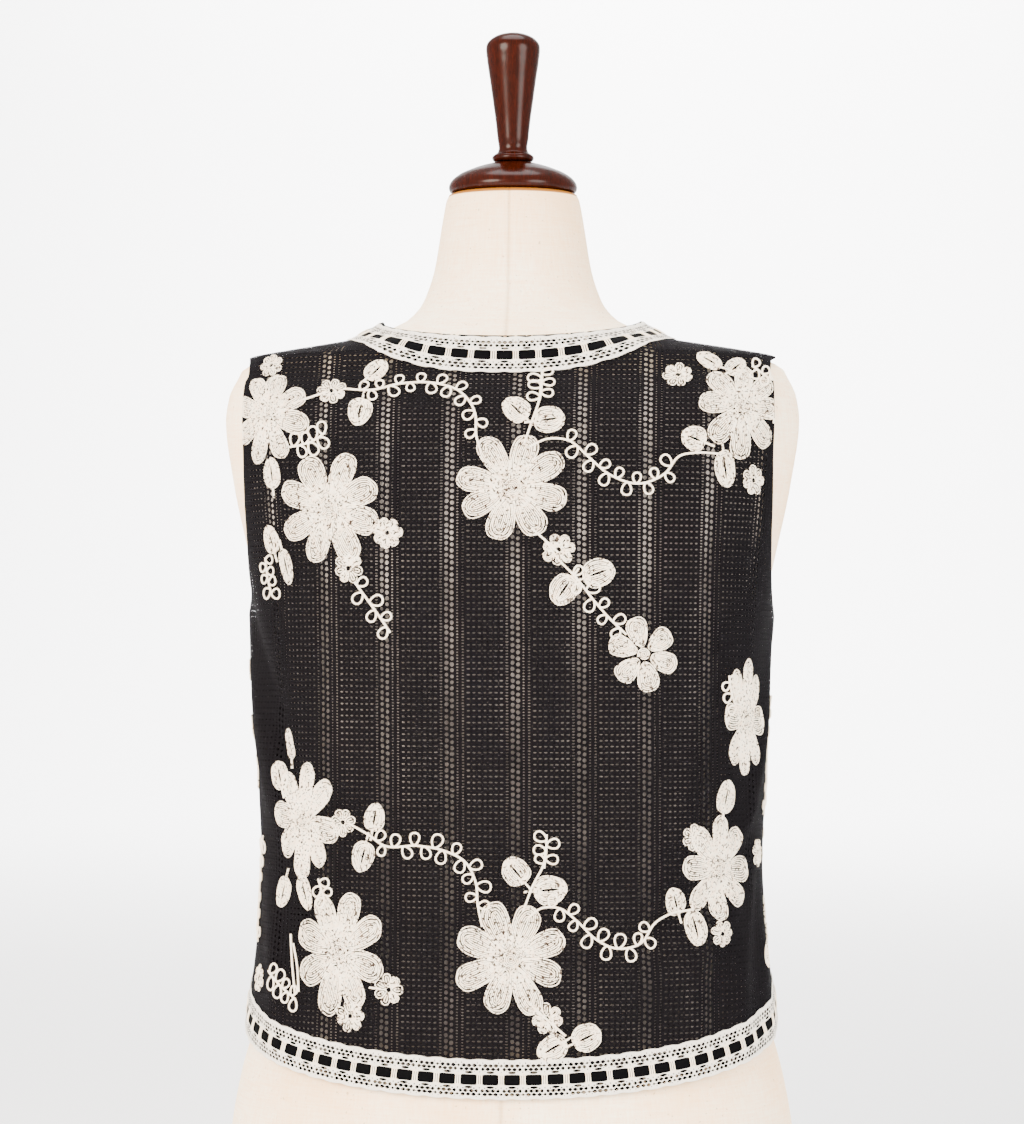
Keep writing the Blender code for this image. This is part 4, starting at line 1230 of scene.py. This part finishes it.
# %% Lay the large flowers
# Each flower: angle round the body, height, petal length in metres, how many petals, and its turn
FLOWERS = (
    (2.0, 0.5335, 0.0355, 8, 8.0),
    (47.8, 0.5840, 0.0295, 8, 20.0),
    (-35.0, 0.5205, 0.0370, 8, 2.0),
    (30.0, 0.4250, 0.0240, 6, 12.0),
    (-46.8, 0.3135, 0.0365, 8, 15.0),
    (-36.0, 0.2290, 0.0365, 8, 5.0),
    (2.0, 0.2270, 0.0355, 8, 0.0),
    (51.5, 0.2830, 0.0310, 8, 22.0),
    (61.0, 0.3800, 0.0340, 8, 18.0),
    (144.0, 0.4550, 0.0345, 8, 6.0),
    (117.0, 0.3450, 0.0340, 8, 14.0),
    (152.0, 0.2500, 0.0345, 8, 0.0),
    (-143.0, 0.4620, 0.0345, 8, 12.0),
    (-118.0, 0.3380, 0.0340, 8, 4.0),
    (-151.0, 0.2440, 0.0345, 8, 16.0),
)
# One more lies half over the left armhole's edge, too thin there for the plain model
ARMHOLE_FLOWER = (-49.0, 0.5830, 0.0315, 8, 3.0)
# The cloth is pulled up and in near the sides, and these flowers with it: shares across and up
PULLED = {
    2: (1.0, 1.06), 5: (0.72, 1.02), 6: (0.94, 1.08),
    7: (1.0, 1.06), 8: (0.90, 1.12), 9: (0.62, 1.12),
}
# The cords reach a little past the plain model's petals. The flower on the right shoulder is
# larger, and lies this many millimetres higher.
PETAL_REACH, PETAL_WIDTH = 1.03, 1.19
SHOULDER_FLOWER, SHOULDER_REACH, SHOULDER_RISE = 2, 1.10, 4
# The coil in a flower's middle: its share of the flower's reach, and how far it stands up
COIL_REACH, COIL_RISE = 0.17, 0.0006
for number, (angle, height, reach, petals, turn) in enumerate((*FLOWERS, ARMHOLE_FLOWER), 1):
    middle, front = flat_spot(angle, height)
    if number == SHOULDER_FLOWER:
        middle = middle + (0, SHOULDER_RISE)
    reach = reach * 1000 * (SHOULDER_REACH if number == SHOULDER_FLOWER else PETAL_REACH)
    width = reach * PETAL_WIDTH * math.sin(math.pi / petals)
    loops = flower_loops(middle, reach, petals, turn, width)
    loops = [middle + (loop - middle) * PULLED.get(number, (1.0, 1.0)) for loop in loops]
    parts = [
        sew_on(loops, front, FILL_RADIUS, True),
        sew_on([spiral(middle, reach * COIL_REACH)], front, FILL_RADIUS, False, COIL_RISE),
    ]
    piece = name_piece(join_pieces(parts), f"corded_flower_{number:02d}", filling)
    if number <= len(FLOWERS):
        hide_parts(f"flower_{number:02d}")
    print(piece.name, len(loops), "loops,", len(piece.data.polygons), "faces")

# %% [markdown]
# ## Vines, leaves and small flowers
# Between the large flowers run stems with rings on both sides, leaves, and small flowers. Their
# places are given as angle and height, and the front and the sides, which nobody sees in the usual
# view, carry the same kinds in their own order.

# %% Lay the vines
# Each stem: millimetres left bare at its start and at its end, or None where it has no rings at
# all, then its (angle, height) points
STEMS = (
    ((12, 10), ((-31.0, 0.599), (-25.0, 0.598), (-19.8, 0.602), (-13.0, 0.602), (-8.2, 0.596),
                (-5.2, 0.582), (-4.9, 0.567), (-4.0, 0.556))),
    ((27, 30), ((5.2, 0.560), (8.5, 0.565), (12.5, 0.564), (16.5, 0.553), (20.5, 0.542),
                (26.5, 0.536), (31.5, 0.543), (34.0, 0.554), (38.0, 0.5565), (42.5, 0.556))),
    ((30, 3), ((8.6, 0.500), (11.5, 0.487), (15.2, 0.475), (18.5, 0.462), (22.5, 0.448),
               (26.0, 0.438))),
    ((22, 10), ((-34.0, 0.3135), (-29.0, 0.306), (-26.0, 0.300), (-18.0, 0.300), (-12.5, 0.297),
                (-8.0, 0.290), (-5.7, 0.277), (-5.2, 0.262), (-4.2, 0.248))),
    ((16, 28), ((5.8, 0.254), (8.5, 0.260), (12.5, 0.260), (16.0, 0.252), (20.0, 0.240),
                (24.0, 0.234), (30.0, 0.237), (33.5, 0.250), (37.0, 0.255), (43.0, 0.257))),
    ((3, 1), ((-30.8, 0.472), (-28.0, 0.460), (-25.5, 0.449), (-23.4, 0.439))),
    (None, ((4.2, 0.562), (5.4, 0.575), (6.8, 0.590), (7.2, 0.604))),
    ((3, 0), ((6.9, 0.590), (7.2, 0.598), (7.4, 0.610))),
    (None, ((4.6, 0.258), (6.8, 0.275), (9.2, 0.290), (9.5, 0.300))),
    ((3, 0), ((9.2, 0.286), (9.6, 0.296), (9.7, 0.308))),
    ((3, 1), ((-43.0, 0.561), (-40.5, 0.562), (-37.0, 0.565), (-34.4, 0.570))),
    (None, ((6.0, 0.507), (8.8, 0.499), (11.5, 0.491))),
    (None, ((-42.0, 0.5895), (-38.5, 0.593), (-34.5, 0.597))),
    (None, ((55.0, 0.5825), (58.0, 0.580), (61.0, 0.577))),
    ((2, 0), ((53.0, 0.410), (54.0, 0.400), (56.5, 0.387))),
    ((2, 0), ((-56.5, 0.488), (-56.6, 0.474), (-55.4, 0.463))),
    ((2, 0), ((-42.4, 0.276), (-41.2, 0.268), (-40.2, 0.261))),
    ((2, 0), ((55.5, 0.6155), (57.6, 0.611), (59.5, 0.606))),
    ((2, 0), ((-57.5, 0.212), (-52.0, 0.203), (-47.0, 0.196))),
    (None, ((-50.8, 0.238), (-49.6, 0.222), (-47.2, 0.199))),
    (None, ((-49.6, 0.232), (-47.6, 0.218), (-46.2, 0.201))),
    (None, ((6.5, 0.197), (8.2, 0.192), (10.0, 0.187), (13.2, 0.178))),
    (None, ((-26.5, 0.506), (-24.5, 0.505))),
    (None, ((-28.0, 0.207), (-25.5, 0.2065))),
    ((4, 3), ((139.0, 0.425), (137.0, 0.405), (131.0, 0.390), (125.0, 0.378))),
    ((4, 3), ((119.0, 0.314), (124.0, 0.293), (133.0, 0.280), (142.0, 0.272))),
    ((4, 3), ((141.0, 0.490), (137.0, 0.515), (131.0, 0.535), (127.0, 0.555))),
    ((4, 3), ((156.0, 0.480), (162.0, 0.497), (168.0, 0.500))),
    ((4, 3), ((158.0, 0.432), (165.0, 0.414), (172.0, 0.406))),
    ((4, 3), ((104.0, 0.330), (101.0, 0.300), (105.0, 0.270), (112.0, 0.250))),
    ((4, 3), ((146.0, 0.286), (152.0, 0.310), (162.0, 0.325), (171.0, 0.330))),
    ((4, 3), ((-139.0, 0.430), (-135.0, 0.408), (-129.0, 0.388), (-124.0, 0.372))),
    ((4, 3), ((-121.0, 0.308), (-126.0, 0.288), (-134.0, 0.274), (-141.0, 0.266))),
    ((4, 3), ((-140.0, 0.497), (-135.0, 0.520), (-130.0, 0.540), (-127.0, 0.560))),
    ((4, 3), ((-155.0, 0.487), (-161.0, 0.502), (-168.0, 0.498))),
    ((4, 3), ((-158.0, 0.440), (-164.0, 0.420), (-172.0, 0.410))),
    ((4, 3), ((-105.0, 0.322), (-101.0, 0.292), (-104.0, 0.262), (-110.0, 0.244))),
    ((4, 3), ((-147.0, 0.280), (-153.0, 0.305), (-162.0, 0.318), (-171.0, 0.322))),
    ((4, 3), ((80.0, 0.395), (84.0, 0.370), (83.0, 0.340), (78.0, 0.315))),
    ((4, 3), ((-70.0, 0.300), (-76.0, 0.278), (-77.0, 0.250), (-72.0, 0.228))),
)
# A stem shorter than this, in millimetres, has its rings close together
SHORT_STEM = 32
SECTORS = {
    "back": lambda angle: abs(angle) < 90,
    "front_right": lambda angle: angle > 90,
    "front_left": lambda angle: angle < -90,
}
for sector, inside in SECTORS.items():
    lines, rings = [], []
    for bare, spots in STEMS:
        if not inside(spots[0][0]):
            continue
        line = smooth_line([flat_spot(*spot)[0] for spot in spots])
        lines.append(line)
        if bare:
            short = np.linalg.norm(line[-1] - line[0]) < SHORT_STEM
            rings += vine_loops(line, *bare, spacing=3.9 if short else 6.7)
    front = sector != "back"
    parts = [
        sew_on(lines, front, STEM_RADIUS, False),
        sew_on(rings, front, STEM_RADIUS * 0.92, True),
    ]
    piece = name_piece(join_pieces(parts), f"corded_vines_{sector}", cord)
    print(piece.name, len(lines), "stems,", len(rings), "rings")

# %% Lay the leaves and the small flowers
# A leaf's loops leave a slit this wide from its middle, and its stalk reaches this far to the vine
LEAF_SLIT, STALK = 1.25, 6.0
# Each leaf: angle, height, then length, width and the way that it points, in degrees
LEAVES = (
    (-25.5, 0.6115, 19.0, 14.5, 50.0), (-27.2, 0.584, 20.0, 17.0, -100.0),
    (2.5, 0.585, 20.5, 17.0, 135.0), (8.8, 0.578, 21.0, 18.5, 8.0),
    (43.3, 0.6185, 20.0, 12.0, 150.0), (50.0, 0.6145, 17.5, 14.0, 40.0),
    (36.8, 0.566, 18.0, 17.0, 160.0), (44.8, 0.546, 25.0, 15.0, -80.0),
    (-49.0, 0.544, 21.0, 14.5, 95.0), (-53.0, 0.500, 20.0, 15.0, 110.0),
    (-48.8, 0.482, 25.0, 11.0, -75.0), (19.8, 0.478, 22.0, 19.0, 20.0),
    (12.8, 0.467, 22.0, 18.5, -125.0), (-55.5, 0.343, 20.0, 15.0, 110.0),
    (-52.0, 0.364, 21.0, 9.0, 100.0), (-27.8, 0.318, 19.0, 14.5, 80.0),
    (-30.8, 0.292, 21.0, 16.0, -105.0), (-55.2, 0.265, 22.0, 15.0, -110.0),
    (-46.8, 0.266, 24.0, 12.0, -70.0), (3.0, 0.284, 20.0, 18.0, 130.0),
    (-50.0, 0.572, 20.0, 13.0, -95.0), (10.5, 0.272, 22.5, 19.5, 5.0),
    (38.5, 0.263, 19.0, 15.0, 110.0), (43.5, 0.245, 24.0, 15.0, -85.0),
    (53.0, 0.330, 23.0, 16.0, 75.0), (17.5, 0.177, 20.0, 18.5, 25.0),
    (10.4, 0.1700, 21.0, 17.0, -150.0), (163.0, 0.452, 20.0, 15.0, 30.0),
    (166.0, 0.372, 20.0, 16.0, 200.0), (128.0, 0.318, 20.0, 15.0, 80.0),
    (104.5, 0.372, 19.0, 14.0, 120.0), (134.0, 0.232, 21.0, 15.0, 230.0),
    (167.0, 0.285, 19.0, 15.0, 60.0), (120.0, 0.212, 20.0, 15.0, 300.0),
    (107.0, 0.208, 19.0, 14.0, 250.0), (150.0, 0.406, 20.0, 15.0, 260.0),
    (-163.0, 0.458, 20.0, 15.0, 150.0), (-166.0, 0.366, 20.0, 16.0, -20.0),
    (-129.0, 0.312, 20.0, 15.0, 100.0), (-105.0, 0.366, 19.0, 14.0, 60.0),
    (-135.0, 0.226, 21.0, 15.0, -50.0), (-167.0, 0.279, 19.0, 15.0, 120.0),
    (-121.0, 0.208, 20.0, 15.0, 240.0), (-106.0, 0.204, 19.0, 14.0, 290.0),
    (-150.0, 0.412, 20.0, 15.0, 280.0), (80.0, 0.250, 20.0, 15.0, 100.0),
    (74.0, 0.222, 20.0, 14.0, 250.0), (-76.0, 0.372, 20.0, 14.0, 80.0),
    (-78.0, 0.340, 19.0, 14.0, 270.0),
)
# Each small flower: angle, height and reach in millimetres
SMALL_FLOWERS = (
    (-33.5, 0.598, 10.5), (-53.8, 0.617, 9.5), (34.2, 0.608, 10.5), (53.5, 0.539, 10.0),
    (-23.0, 0.504, 10.5), (-32.0, 0.481, 10.5), (11.5, 0.493, 11.0), (-35.5, 0.314, 9.5),
    (-23.8, 0.206, 10.5), (-32.0, 0.188, 10.5), (43.5, 0.304, 9.5), (50.5, 0.240, 9.0),
    (9.4, 0.189, 10.5), (172.0, 0.440, 9.5), (169.0, 0.240, 10.0), (104.0, 0.405, 9.5),
    (134.0, 0.345, 10.0), (130.0, 0.195, 9.5), (158.0, 0.530, 9.5), (-172.0, 0.434, 9.5),
    (-169.0, 0.234, 10.0), (-104.0, 0.400, 9.5), (-134.0, 0.340, 10.0), (-131.0, 0.192, 9.5),
    (-157.0, 0.535, 9.5), (72.0, 0.290, 10.0), (-66.0, 0.205, 9.5), (-82.0, 0.410, 9.5),
)
for sector, inside in SECTORS.items():
    front = sector != "back"
    loops, stalks, flowers = [], [], []
    for angle, height, length, width, way in LEAVES:
        if inside(angle):
            middle = flat_spot(angle, height)[0]
            ahead = np.array([math.cos(math.radians(way)), math.sin(math.radians(way))])
            loops += petal_loops(middle, way, length, width, LEAF_SLIT, flare=-0.14, long_slit=0.62)
            behind = np.linspace(length / 2 - 1, length / 2 + STALK, 5)
            stalks.append(middle - ahead * behind[:, None])
    for angle, height, reach in SMALL_FLOWERS:
        if inside(angle):
            middle = flat_spot(angle, height)[0]
            turn = vary.uniform(0, 50)
            flowers += flower_loops(middle, reach, 7, turn, reach * 0.62, start=1.2, slit=0.85)
    parts = [sew_on(loops, front, FILL_RADIUS, True), sew_on(stalks, front, STEM_RADIUS, False)]
    piece = name_piece(join_pieces(parts), f"corded_leaves_{sector}", filling)
    print(piece.name, len(loops), "loops")
    piece = sew_on(flowers, front, FILL_RADIUS, True)
    piece = name_piece(piece, f"small_flowers_{sector}", filling)
    print("small flowers:", len(flowers), "loops")

# %% [markdown]
# ## The linen form
# A dress form is a hard shell covered in close-fitting linen with seams down its middle and sides
# and round its arm plates. Its sections are known, so a fine grid wraps round them and its two
# long edges are merged. The seams are shallow grooves in the mesh. The weave is in the material.

# %% Linen material
linen, tree, shader = new_material(
    "cream_form_linen", Base_Color=linear("#f7e0c5"), Roughness=0.88, Specular_IOR_Level=0.2
)
here = add(tree, "TexCoord")
spot = add(tree, "SeparateXYZ", here.outputs[3])
# Threads 0.5 mm apart on real linen, drawn 0.9 mm apart so that they show
THREAD_STEP, MEAN_RADIUS = 0.0009, 0.16
turn = add(tree, "Math", spot.outputs[1], spot.outputs[0], operation="ARCTAN2")
warp = add(tree, "Math", turn, MEAN_RADIUS * math.tau / THREAD_STEP, operation="MULTIPLY")
warp = add(tree, "Math", warp, operation="SINE")
weft = add(tree, "Math", spot.outputs[2], math.tau / THREAD_STEP, operation="MULTIPLY")
weft = add(tree, "Math", weft, operation="SINE")
weave = add(tree, "Math", warp, weft, operation="MULTIPLY")
stretch = add(tree, "Mapping", here.outputs[3], None, None, (60.0, 60.0, 900.0))
slub = add(tree, "TexNoise", stretch, None, 1.0, 3.0)
stretch = add(tree, "Mapping", here.outputs[3], None, None, (700.0, 700.0, 40.0))
slub_up = add(tree, "TexNoise", stretch, None, 1.0, 3.0)
slubs = add(tree, "Math", slub, slub_up, operation="ADD")
relief = add(tree, "Math", weave, 0.15, operation="MULTIPLY")
relief = add(tree, "Math", relief, slubs, operation="ADD")
bump = add(tree, "Bump", 0.45, 0.0004, None, relief)
tree.links.new(bump.outputs[0], shader.inputs["Normal"])
broad = add(tree, "TexNoise", here.outputs[3], None, 9.0, 3.0)
mottle = add(tree, "Math", broad, slubs, operation="MULTIPLY")
mottle = add(tree, "MapRange", mottle, 0.3, 0.75, 0.0, 1.0)
tone = add(tree, "Mix", mottle, data_type="RGBA")
tone.inputs[6].default_value = linear("#f8cf9f")
tone.inputs[7].default_value = linear("#fff0d4")
# A few brown flecks of flax husk, about 1 mm long
flecks = add(tree, "TexNoise", here.outputs[3], None, 420.0, 1.0)
flecks = add(tree, "MapRange", flecks, 0.715, 0.76, 0.0, 0.5)
husk = add(tree, "Mix", flecks, data_type="RGBA")
tree.links.new(tone.outputs[2], husk.inputs[6])
husk.inputs[7].default_value = linear("#9a7450")
# The seams draw a thin darker line, and the neck block's bare wood shows just under the cap
seam_line = add(tree, "Attribute", attribute_name="seam")
seam_share = add(tree, "Math", seam_line.outputs[2], 0.42, operation="MULTIPLY")
sewn = add(tree, "Mix", seam_share, data_type="RGBA")
tree.links.new(husk.outputs[2], sewn.inputs[6])
sewn.inputs[7].default_value = linear("#a2805c")
# Painted shade: where the waistcoat lies over the linen it is given a greyer tone, as it shows in
# the cloth's shade through the eyelets
under = add(tree, "MapRange", spot.outputs[2], 0.150, 0.175, 0.0, 1.0)
over = add(tree, "MapRange", spot.outputs[2], 0.600, 0.625, 1.0, 0.0)
aside = add(tree, "Math", spot.outputs[0], operation="ABSOLUTE")
aside = add(tree, "MapRange", aside, 0.165, 0.180, 1.0, 0.0)
cloth_shade_mask = add(tree, "Math", under, over, operation="MULTIPLY")
cloth_shade_mask = add(tree, "Math", cloth_shade_mask, aside, operation="MULTIPLY")
pale = add(tree, "Mix", cloth_shade_mask, data_type="RGBA")
tree.links.new(sewn.outputs[2], pale.inputs[6])
pale.inputs[7].default_value = linear("#e4d8cf")
bare = add(tree, "MapRange", spot.outputs[2], 0.7354, 0.7361, 0.0, 1.0)
edge = add(tree, "Mix", bare, data_type="RGBA")
tree.links.new(pale.outputs[2], edge.inputs[6])
edge.inputs[7].default_value = linear("#8c5614")
tree.links.new(edge.outputs[2], shader.inputs["Base Color"])

# %% The form
BUST_SIDE, BUST_HEIGHT, BUST_RADIUS, BUST_RISE = 0.078, 0.418, 0.052, 0.020
SEAM_DEPTH, SEAM_HALF_WIDTH = 0.0007, 0.0009
seams = (0.0, 90.0, 180.0, 270.0, 360.0)
fine = np.array([-0.9, -0.45, -0.22, 0.0, 0.22, 0.45, 0.9])
turns = np.concatenate([np.linspace(0, 360, 181), *[seam + fine for seam in seams]])
turns = np.unique(np.clip(turns, 0, 360).round(3))
levels = np.array([row[0] for row in FORM_SECTIONS])
levels = np.unique(np.concatenate([levels, np.linspace(0, levels[-1], 150)]).round(5))
points = section_points(FORM_SECTIONS, turns[None, :], levels[:, None])
across = (np.abs(points[..., 0]) - BUST_SIDE) / BUST_RADIUS
lifted = (points[..., 2] - BUST_HEIGHT) / BUST_RADIUS
points[..., 1] += np.where(points[..., 1] > 0, BUST_RISE * np.exp(-(across**2) - lifted**2), 0.0)
middle = points.mean(axis=1, keepdims=True)
groove = np.zeros(points.shape[:2])
for seam in seams:
    away = np.radians(turns - seam)[None, :] * np.linalg.norm(points - middle, axis=-1)
    groove = groove + SEAM_DEPTH * np.exp(-((away / SEAM_HALF_WIDTH) ** 2))
inward = unit((points - middle) * np.array([1, 1, 0]))
points -= inward * groove[..., None]
form, row, column = lay_grid(points)
add_number(form, "seam", (groove / SEAM_DEPTH)[row, column])
bpy.ops.object.mode_set(mode="EDIT")
bpy.ops.mesh.select_all(action="SELECT")
bpy.ops.mesh.remove_doubles(threshold=0.00002)
bpy.ops.mesh.select_all(action="DESELECT")
bpy.ops.mesh.select_non_manifold()
bpy.ops.mesh.edge_face_add()
bpy.ops.mesh.select_all(action="SELECT")
bpy.ops.mesh.normals_make_consistent(inside=False)
bpy.ops.object.mode_set(mode="OBJECT")
name_piece(form, "linen_form", linen)
bpy.ops.object.shade_smooth_by_angle(angle=math.radians(50))
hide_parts("form_torso")
print("form:", len(form.data.polygons), "faces")

# %% [markdown]
# ## The turned cap and handle
# Both are turned on a lathe from red-brown wood and varnished. A circle is drawn out and widened
# step by step, as a lathe tool follows a profile. The steps are small, because a subdivision
# instead would pull the narrow beads in and make the pieces thinner than they are.

# %% Varnished wood
wood, tree, shader = new_material(
    "varnished_mahogany", Base_Color=linear("#2a0b04"), Roughness=0.5, Specular_IOR_Level=0.0
)
shader.inputs["Coat Weight"].default_value = 0.2
shader.inputs["Coat Roughness"].default_value = 0.22
here = add(tree, "TexCoord")
# Grain runs across the cap and up the handle: long thin streaks about 2 mm apart
stretch = add(tree, "Mapping", here.outputs[3], None, (0.0, 0.12, 0.5), (420.0, 26.0, 60.0))
grain = add(tree, "TexNoise", stretch, None, 1.0, 5.0, 0.6)
pores = add(tree, "Mapping", here.outputs[3], None, (0.0, 0.1, 0.5), (1500.0, 110.0, 300.0))
pores = add(tree, "TexNoise", pores, None, 1.0, 2.0)
mixed = add(tree, "Math", grain, pores, operation="MULTIPLY")
mixed = add(tree, "MapRange", mixed, 0.12, 0.40, 0.0, 1.0)
tone = add(tree, "Mix", mixed, data_type="RGBA")
tone.inputs[6].default_value = linear("#180400")
tone.inputs[7].default_value = linear("#2c0901")
tree.links.new(tone.outputs[2], shader.inputs["Base Color"])
bump = add(tree, "Bump", 0.08, 0.0003, None, mixed)
tree.links.new(bump.outputs[0], shader.inputs["Normal"])

# %% Turn the two pieces
NECK_AXIS_Y = 0.012
CAP_PROFILE = (
    (0.0425, 0.7388), (0.0436, 0.7400), (0.0441, 0.7414), (0.0440, 0.7439), (0.0426, 0.7467),
    (0.0380, 0.7508), (0.0292, 0.7550), (0.0213, 0.7577), (0.0135, 0.7595), (0.0060, 0.7600),
)
HANDLE_PROFILE = (
    (0.0100, 0.7603), (0.0134, 0.7609), (0.0143, 0.7622), (0.0143, 0.7638), (0.0128, 0.7653),
    (0.0108, 0.7666), (0.0099, 0.7690), (0.0106, 0.7756), (0.0121, 0.7894), (0.0140, 0.8032),
    (0.0159, 0.8169), (0.0179, 0.8307), (0.0186, 0.8385), (0.0183, 0.8408), (0.0158, 0.8443),
    (0.0112, 0.8472), (0.0069, 0.8486), (0.0020, 0.8493),
)


def turn_piece(profile):
    """A lathe-turned piece, closed at both ends."""
    profile = smooth_line(profile, step=0.0014)
    radius, height = profile[0]
    piece = start_from(
        bpy.ops.mesh.primitive_circle_add,
        vertices=64, radius=radius, fill_type="NGON", location=(0, NECK_AXIS_Y, height),
    )
    bpy.ops.object.transform_apply(location=True, rotation=False, scale=False)
    bpy.ops.object.mode_set(mode="EDIT")
    bpy.ops.mesh.select_all(action="SELECT")
    for (old_radius, old_height), (new_radius, new_height) in zip(profile, profile[1:]):
        bpy.ops.mesh.extrude_region_move(
            TRANSFORM_OT_translate={"value": (0, 0, new_height - old_height)}
        )
        share = new_radius / old_radius
        bpy.ops.transform.resize(value=(share, share, 1))
    bpy.ops.mesh.select_all(action="SELECT")
    bpy.ops.mesh.normals_make_consistent(inside=False)
    bpy.ops.object.mode_set(mode="OBJECT")
    return piece


for name, node, profile in (
    ("turned_cap", "neck_cap", CAP_PROFILE),
    ("turned_handle", "cap_handle", HANDLE_PROFILE),
):
    piece = name_piece(turn_piece(profile), name, wood)
    bpy.ops.object.shade_smooth_by_angle(angle=math.radians(60))
    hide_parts(node)
    low, high = (np.array(c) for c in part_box(node))
    print(name, "is", (high - low).round(4), "in the plain model")

# %% [markdown]

# %% [markdown]
# ## Studio
# A pale paper sweep: the floor curves up into the wall, so no corner shows. It starts as a grid.

# %% Floor and backdrop
paper, tree, shader = new_material("matt_paper_sweep", Base_Color=linear("#f7f7f8"), Roughness=0.95)
here = add(tree, "TexCoord")
fibre = add(tree, "TexNoise", here.outputs[3], None, 40.0, 3.0)
bump = add(tree, "Bump", 0.02, 0.001, None, fibre)
tree.links.new(bump.outputs[0], shader.inputs["Normal"])
bend = np.linspace(0, math.pi / 2, 24)
PAPER_LEVEL, BEND_START, BEND_RADIUS = -0.0005, 3.8, 1.6
WALL = BEND_START + BEND_RADIUS
profile = [(-4.0, PAPER_LEVEL), (BEND_START, PAPER_LEVEL)]
for t in bend[1:]:
    height = BEND_RADIUS * (1 - math.cos(t)) + PAPER_LEVEL
    profile.append((BEND_START + BEND_RADIUS * math.sin(t), height))
profile.append((WALL, 6.0))
sweep = np.array([[(x, y, z) for x in np.linspace(-5, 5, 9)] for y, z in profile])
backdrop, _, _ = lay_grid(sweep)
backdrop.name = "paper_sweep"
backdrop.data.materials.append(paper)
backdrop.data.shade_smooth()
print("sweep:", len(backdrop.data.polygons), "faces")

# %% [markdown]
# ## Light and camera
# Large soft lights stand at the front left and right, one above, and one before the wall. The
# camera is level, a little to the wearer's right, and far enough away for a long lens.

# %% Lights
def add_light(name, place, target, size, power, colour):
    """A soft lamp that faces its target, with its size in metres and its power in watts."""
    lamp = bpy.data.lights.new(name, "AREA")
    lamp.shape, lamp.size, lamp.energy, lamp.color = "DISK", size, power, linear(colour)[:3]
    made = bpy.data.objects.new(name, lamp)
    bpy.context.scene.collection.objects.link(made)
    made.location = place
    made.rotation_euler = (Vector(target) - Vector(place)).to_track_quat("-Z", "Y").to_euler()


add_light("key", (-1.7, -2.3, 1.3), (0, 0, 0.42), 1.6, 285, "#fff2e2")
add_light("fill", (2.0, -1.9, 1.0), (0, 0, 0.40), 1.6, 140, "#fffaf2")
add_light("top", (0.0, 0.2, 2.4), (0, 0, 0.5), 1.4, 70, "#ffffff")
add_light("wall", (0.0, WALL - 1.9, 3.0), (0, WALL, 1.3), 2.6, 600, "#ffffff")
world = bpy.data.worlds.new("studio_air")
bpy.context.scene.world = world
world.use_nodes = True
world.node_tree.nodes["Background"].inputs["Color"].default_value = linear("#f8f7f6")
world.node_tree.nodes["Background"].inputs["Strength"].default_value = 1.9

# %% Camera
TURN, DISTANCE, EYE_HEIGHT = math.radians(3.4), 2.2, 0.485
SENSOR_WIDTH, IMAGE_WIDTH, FOCAL_PIXELS = 36.0, 1024, 3212
lens = bpy.data.cameras.new("camera")
lens.sensor_fit, lens.sensor_width = "HORIZONTAL", SENSOR_WIDTH
lens.lens = FOCAL_PIXELS / IMAGE_WIDTH * SENSOR_WIDTH
camera = bpy.data.objects.new("camera", lens)
bpy.context.scene.collection.objects.link(camera)
camera.location = (DISTANCE * math.sin(TURN), -DISTANCE * math.cos(TURN), EYE_HEIGHT)
camera.rotation_euler = (math.pi / 2, 0, TURN)
bpy.context.scene.camera = camera
print("lens:", round(lens.lens, 1), "mm")
